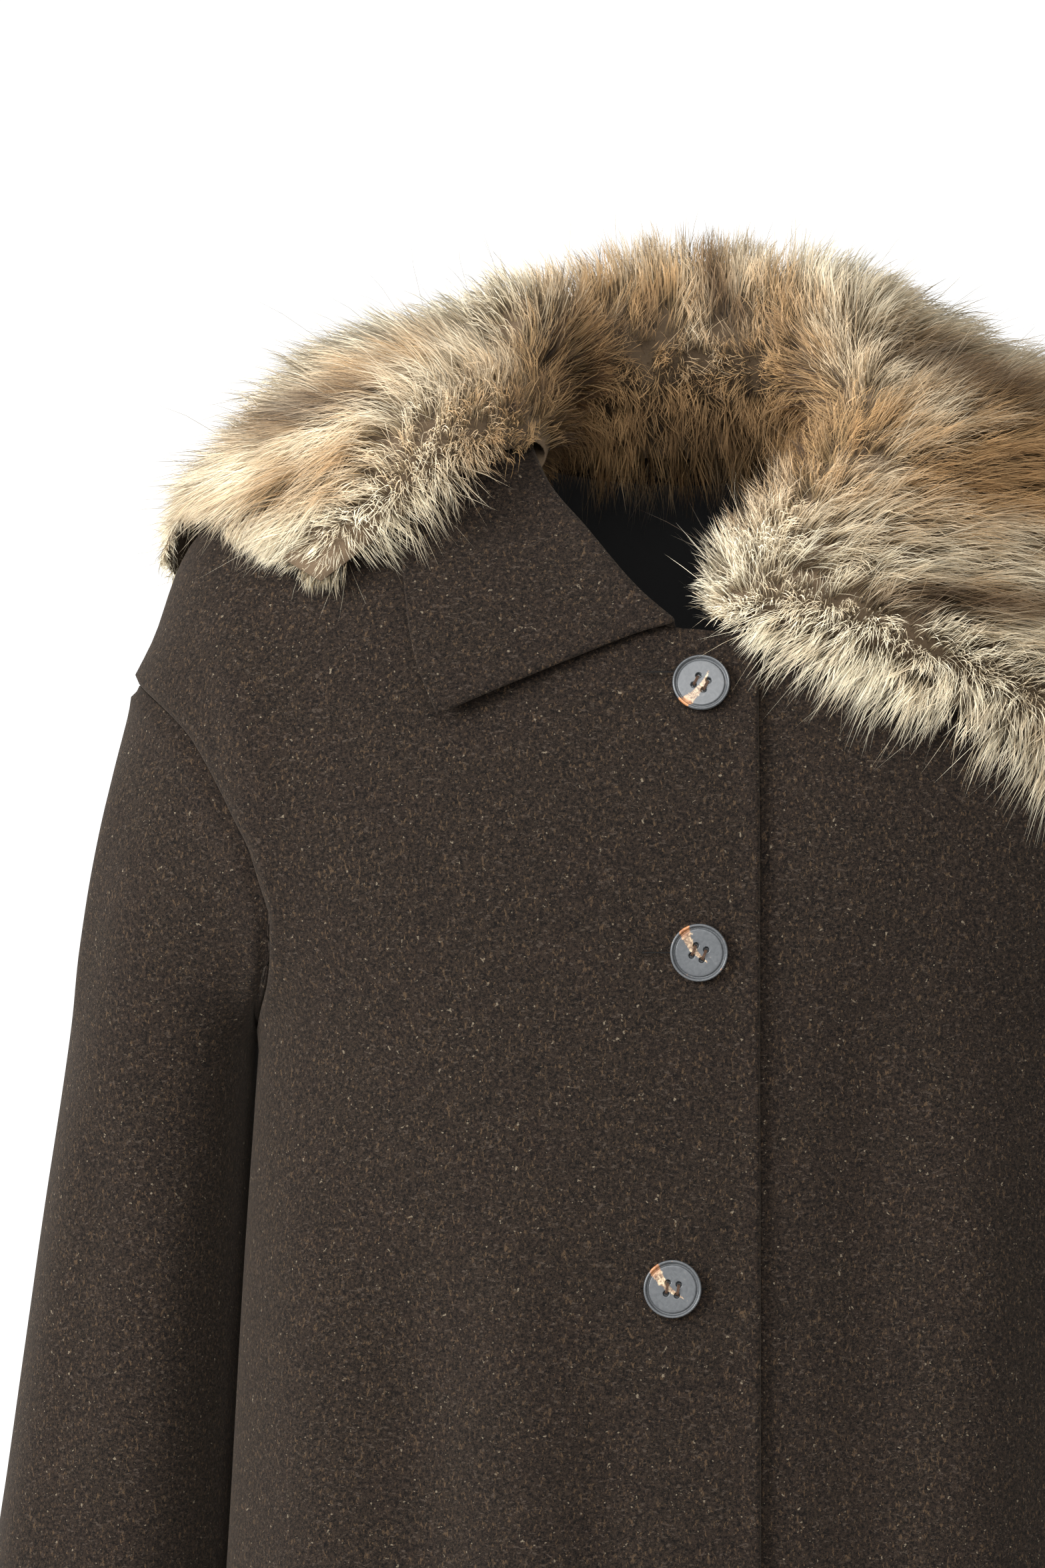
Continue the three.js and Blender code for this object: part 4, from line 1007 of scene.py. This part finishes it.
def hair_object(name, points, widths, tones, lie, material):
    """Tapered ribbons. lie is the direction that each one's light is worked out from."""
    count, steps = points.shape[:2]
    along = unit(np.gradient(points, axis=1))
    flat = unit(np.cross(along, random.normal(size=(count, 1, 3))))
    half = flat * (widths[:, None, None] * np.linspace(0.5, 0.25, steps)[None, :, None])
    pairs = np.stack([points - half, points + half], 2)[:, :-1].reshape(count, -1, 3)
    vertices = np.concatenate([pairs, points[:, -1:]], 1)
    per = vertices.shape[1]
    colors = np.concatenate([np.repeat(tones[:, :-1], 2, 1), tones[:, -1:]], 1)
    quads = np.array([[2 * k, 2 * k + 1, 2 * k + 3, 2 * k + 2] for k in range(steps - 2)])
    pattern = np.append(quads.ravel(), [per - 3, per - 2, per - 1])
    loops = (np.arange(count)[:, None] * per + pattern).ravel()
    starts = (np.arange(count)[:, None] * len(pattern) + 4 * np.arange(steps - 1)).ravel()
    mesh = bpy.data.meshes.new(name)
    mesh.vertices.add(count * per)
    mesh.vertices.foreach_set("co", (vertices * MM).astype(np.float32).ravel())
    mesh.loops.add(len(loops))
    mesh.loops.foreach_set("vertex_index", loops.astype(np.int32))
    mesh.polygons.add(len(starts))
    mesh.polygons.foreach_set("loop_start", starts.astype(np.int32))
    mesh.update(calc_edges=True)
    rgba = np.concatenate([colors, np.ones((count, per, 1))], 2)
    color = mesh.attributes.new("hair_color", "FLOAT_COLOR", "POINT")
    color.data.foreach_set("color", rgba.astype(np.float32).ravel())
    vector = mesh.attributes.new("lie", "FLOAT_VECTOR", "POINT")
    vector.data.foreach_set("vector", np.repeat(lie[:, None], per, 1).astype(np.float32).ravel())
    mesh.materials.append(material)
    return linked(name, mesh)


def make_locks(pelt, count, each):
    place, normal, down, around, numbers = pelt.scatter(count)
    rise, lean = hair_course(normal, down, around, numbers)
    length = np.hypot(rise, np.linalg.norm(lean, axis=1))[:, None]
    lean = lean + random.normal(size=(count, 3)) * length * LOCK_STRAY
    curl = random.normal(size=(count, 3)) * length * LOCK_CURL
    lock = np.repeat(np.arange(count), each)
    total = count * each
    radius = LOCK_RADIUS * np.sqrt(random.random(total))
    turn = random.uniform(0, 2 * math.pi, total)
    offset = down[lock] * (radius * np.cos(turn))[:, None] + around[lock] * (radius * np.sin(turn))[:, None]
    size = random.uniform(0.8, 1.06, total) * random.uniform(0.9, 1.08, count)[lock]
    stray = random.normal(size=(total, 3)) * length[lock] * STRAND_STRAY
    one_lean = lean[lock] * size[:, None] + stray
    points = hair_paths(place[lock] + offset, normal[lock], rise[lock] * size, one_lean, curl[lock])
    points = points - offset[:, None] * (0.25 * HAIR_STEPS[None, :, None] ** 1.5)
    tones = hair_tones(points[:, 2], 0.12)
    tones[:, 1:] = tones[:, 1:] * random.uniform(0.86, 1.1, count)[lock][:, None, None]
    lie = unit(normal[lock] * rise[lock][:, None] + one_lean * 0.7)
    return points, random.uniform(*LOCK_WIDTHS, total), tones, lie, numbers[0][lock]


def make_guard_hairs(pelt, count):
    place, normal, down, around, numbers = pelt.scatter(count)
    rise, lean = hair_course(normal, down, around, numbers)
    size = random.uniform(1.02, 1.3, count)
    lean = (lean + random.normal(size=(count, 3)) * GUARD_STRAY) * size[:, None]
    curl = random.normal(size=(count, 3)) * GUARD_CURL
    points = hair_paths(place, normal, rise * size, lean, curl)
    lie = unit(normal * rise[:, None] + lean * 0.7)
    return points, random.uniform(*GUARD_WIDTHS, count), hair_tones(points[:, 2], 0.2), lie


pelt_grid = Pelt(151, 67)
pelt = shell("fur_pelt", pelt_grid.top[::2].copy(), pelt_grid.normal[::2], PELT, pelt_shade_brown)
*locks, along = make_locks(pelt_grid, LOCKS, LOCK_STRANDS)
fur_pieces = []
for name, low, high in (
    ("fur_right_end", -1.1, -0.5),
    ("fur_back_right", -0.5, 0.0),
    ("fur_back_left", 0.0, 0.5),
    ("fur_left_end", 0.5, 1.1),
):
    chosen = (along >= low) & (along < high)
    fur_pieces.append(hair_object(name, *(field[chosen] for field in locks), fur))
fur_pieces.append(hair_object("fur_guard_hairs", *make_guard_hairs(pelt_grid, GUARD_HAIRS), fur))
for piece in fur_pieces:
    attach(piece, "root")

# Each cloth piece with the node and the finish that it stands for, what carries it, and its cut in metres.
for piece, node, finish, width, length, area, rests_on, going_with in (
    (front_right, "front_right", "wool", 0.36, 0.75, 0.225, "back", ()),
    (front_left, "front_left", "wool", 0.36, 0.75, 0.223, "back", ()),
    (back, "back", "wool", 0.66, 0.75, 0.415, "wool_front_right", ()),
    (sleeves[0], "sleeve_right", "wool", 0.48, 0.53, 0.182, "wool_back", ()),
    (sleeves[1], "sleeve_left", "wool", 0.48, 0.53, 0.182, "wool_back", ()),
    (collar, "collar", "wool", 0.8, 0.19, 0.094, "wool_back", ()),
    # The back neck patch is near black: painted shade.
    (lining, "back_neck_lining", "lining", 0.25, 0.2, 0.029, "wool_back", ()),
    (pelt, "fur_collar", "fur", 0.85, 0.32, 0.21, "wool_collar", fur_pieces),
):
    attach(piece, "root")
    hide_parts(node)
    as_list(rests_on)
    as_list(going_with)

# Buttons, their thread and the buttonholes


def tubes(name, lines, radius, material, sides=6):
    """Round threads along several lines of points, each closed at its ends."""
    along = unit(np.gradient(lines, axis=1))
    across = unit(np.cross(along, [0.31, 0.17, 0.94]))
    third = np.cross(along, across)
    turn = np.linspace(0, 2 * math.pi, sides, endpoint=False)
    swell = np.ones(lines.shape[1])
    swell[[0, -1]] = 0.3
    ways = across[:, :, None] * np.cos(turn)[:, None] + third[:, :, None] * np.sin(turn)[:, None]
    rings = lines[:, :, None] + ways * (radius * swell)[None, :, None, None]
    count, steps = lines.shape[:2]
    one = grid_faces(steps, sides, wrap=True)
    faces = (np.arange(count)[:, None, None] * steps * sides + one).reshape(-1, 4).tolist()
    for first in range(0, count * steps * sides, steps * sides):
        faces.append(list(range(first + sides - 1, first - 1, -1)))
        faces.append(list(range(first + (steps - 1) * sides, first + steps * sides)))
    return mesh_object(name, rings.reshape(-1, 3), faces, material)


def make_button(name, x, z, turn, flame_way, flame_reach):
    """A dished button with a rim and four thread holes, and the two threads that show between them."""
    seat, normal = on_cloth(np.array(x), np.array(z), np.array(-1))
    spin = Vector((0, 0, 1)).rotation_difference(Vector(normal)).to_matrix()
    spin = np.array(spin @ Matrix.Rotation(math.radians(turn), 3, "Z"))

    def placed(local):
        return seat + normal * BUTTON_GAP + local @ spin.T

    edge = np.array(BUTTON_EDGE)
    inner = np.concatenate([np.linspace(0.05, 2, 4), np.linspace(2.2, 5.6, 22), np.linspace(6.5, 11, 6)])
    radius = np.concatenate([inner, edge[:, 0]])[:, None]
    height = np.concatenate([np.full(len(inner), BUTTON_FACE), edge[:, 1]])[:, None]
    angle = np.linspace(0, 2 * math.pi, 80, endpoint=False)
    east, up = radius * np.cos(angle), radius * np.sin(angle)
    height = height + 0 * east
    offset = BUTTON_HOLE_SPACING / 2
    to_hole = np.hypot(np.abs(east) - offset, np.abs(up) - offset)
    in_hole = 1 - smooth_step(BUTTON_HOLE_RADIUS - 0.25, BUTTON_HOLE_RADIUS + 0.1, to_hole)
    height[: len(inner)] -= (BUTTON_HOLE_DEPTH * in_hole)[: len(inner)]
    points = placed(np.stack([east, up, height], -1))
    faces = grid_faces(*points.shape[:2], wrap=True)[:, ::-1]
    button = mesh_object(f"horn_{name}", points.reshape(-1, 3), faces.tolist(), horn)

    way = math.radians(flame_way - turn)
    along = -(east * math.cos(way) + up * math.sin(way))
    across = up * math.cos(way) - east * math.sin(way) + 0.02 * along**2 - 1
    taper = np.clip((flame_reach - along) / (flame_reach + 14), 0, 1)
    flame = np.clip(1 - np.abs(across) / (4.2 * taper + 0.01), 0, 1)
    shade = button.data.attributes.new("horn_flame", "FLOAT", "POINT")
    shade.data.foreach_set("value", flame.astype(np.float32).ravel())
    warm = button.data.attributes.new("at_rim", "FLOAT", "POINT")
    warm.data.foreach_set("value", smooth_step(9, 13, radius + 0 * east).astype(np.float32).ravel())

    bow = np.linspace(-1, 1, 9)
    lift = BUTTON_FACE + 0.55 - 2.6 * np.abs(bow) ** 5
    lines = [
        np.stack([side * offset + shift + 0 * bow, (offset + 0.3) * bow, lift], -1)
        for side in (-1, 1)
        for shift in (-0.45, 0, 0.45)
    ]
    thread = tubes(f"thread_{name}", placed(np.array(lines)), THREAD_RADIUS, thread_brown)
    return button, thread


def make_buttonhole(name, z):
    """A worked buttonhole: short stitches all round a slit, drawn as a thin near-black tube that paints the
    shadow inside the cut.
    """
    left, right = BUTTONHOLE
    half = (right - left) / 2 - 0.8
    centre = (left + right) / 2
    at = np.linspace(0, 4 * half + 2 * math.pi, STITCHES, endpoint=False)
    there, back_again = np.clip(at, 0, 2 * half), np.clip(at - 2 * half - math.pi, 0, 2 * half)
    first_end = np.clip(at - 2 * half, 0, math.pi)
    turn = math.pi / 2 - first_end - np.clip(at - 4 * half - math.pi, 0, math.pi)
    place = np.stack([there - back_again - half, 0 * at], -1)[:, None]
    way = np.stack([np.cos(turn), np.sin(turn)], -1)[:, None]
    reach = np.array([0.25, 0.5, 1.1, 1.7, 2.0])[None, :, None]
    lift = np.array([-0.1, 0.4, 0.5, 0.3, -0.15])
    flat = place + way * reach * (1 + 0.1 * random.normal(size=(STITCHES, 1, 1)))
    flat[..., 0] += centre
    flat[..., 1] += z
    base, normal = on_cloth(flat[..., 0], flat[..., 1], -1 + 0 * flat[..., 0])
    stitches = tubes(f"stitches_{name}", base + normal * lift[None, :, None], STITCH_RADIUS, wool, 5)
    # The slit: a near-black tube on the cloth, painted shadow in place of the cut's own shade.
    slit_x = np.linspace(left + 0.9, right - 0.9, 24)
    base, normal = on_cloth(slit_x, z + 0 * slit_x, -1 + 0 * slit_x)
    slit = tubes(f"slit_{name}", (base + normal * 0.05)[None], SLIT_RADIUS, slit_painted_shadow)
    return stitches, slit


fastenings = []
for name, x, z, turn, flame_way, flame_reach in BUTTONS:
    button, thread = make_button(name, x, z, turn, flame_way, flame_reach)
    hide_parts(name)
    fastenings += [button, thread, *make_buttonhole(name, z + BUTTONHOLE_RAISE[name])]
for piece in fastenings:
    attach(piece, "root")

# Camera, lights and floor

camera = linked("camera", bpy.data.cameras.new("camera"))
camera.data.sensor_fit = "HORIZONTAL"
camera.data.sensor_width = SENSOR_WIDTH
camera.data.lens = SENSOR_WIDTH * CAMERA_DISTANCE / FRAME_WIDTH
camera.location = Vector(CAMERA_PLACE) * MM
camera.rotation_euler = (math.pi / 2, 0, 0)
bpy.context.scene.camera = camera

for name, place, target, size, energy in LIGHTS:
    light = linked(name, bpy.data.lights.new(name, "AREA"))
    light.data.size = size
    light.data.energy = energy
    light.location = place
    light.rotation_euler = (Vector(target) - Vector(place)).to_track_quat("-Z", "Y").to_euler()

world = bpy.data.worlds.new("studio")
world.use_nodes = True
background = world.node_tree.nodes["Background"]
background.inputs["Color"].default_value = (1, 1, 1, 1)
background.inputs["Strength"].default_value = WORLD_STRENGTH
bpy.context.scene.world = world
bpy.context.scene.view_settings.view_transform = "Standard"

floor_place = (0, 0, FLOOR_Z * MM)
bpy.ops.mesh.primitive_circle_add(vertices=96, radius=FLOOR_RADIUS, fill_type="NGON", location=floor_place)
floor = bpy.context.object
floor.name = "floor"
floor.data.materials.append(plain_material("floor", (0.8, 0.79, 0.77), 0.6))
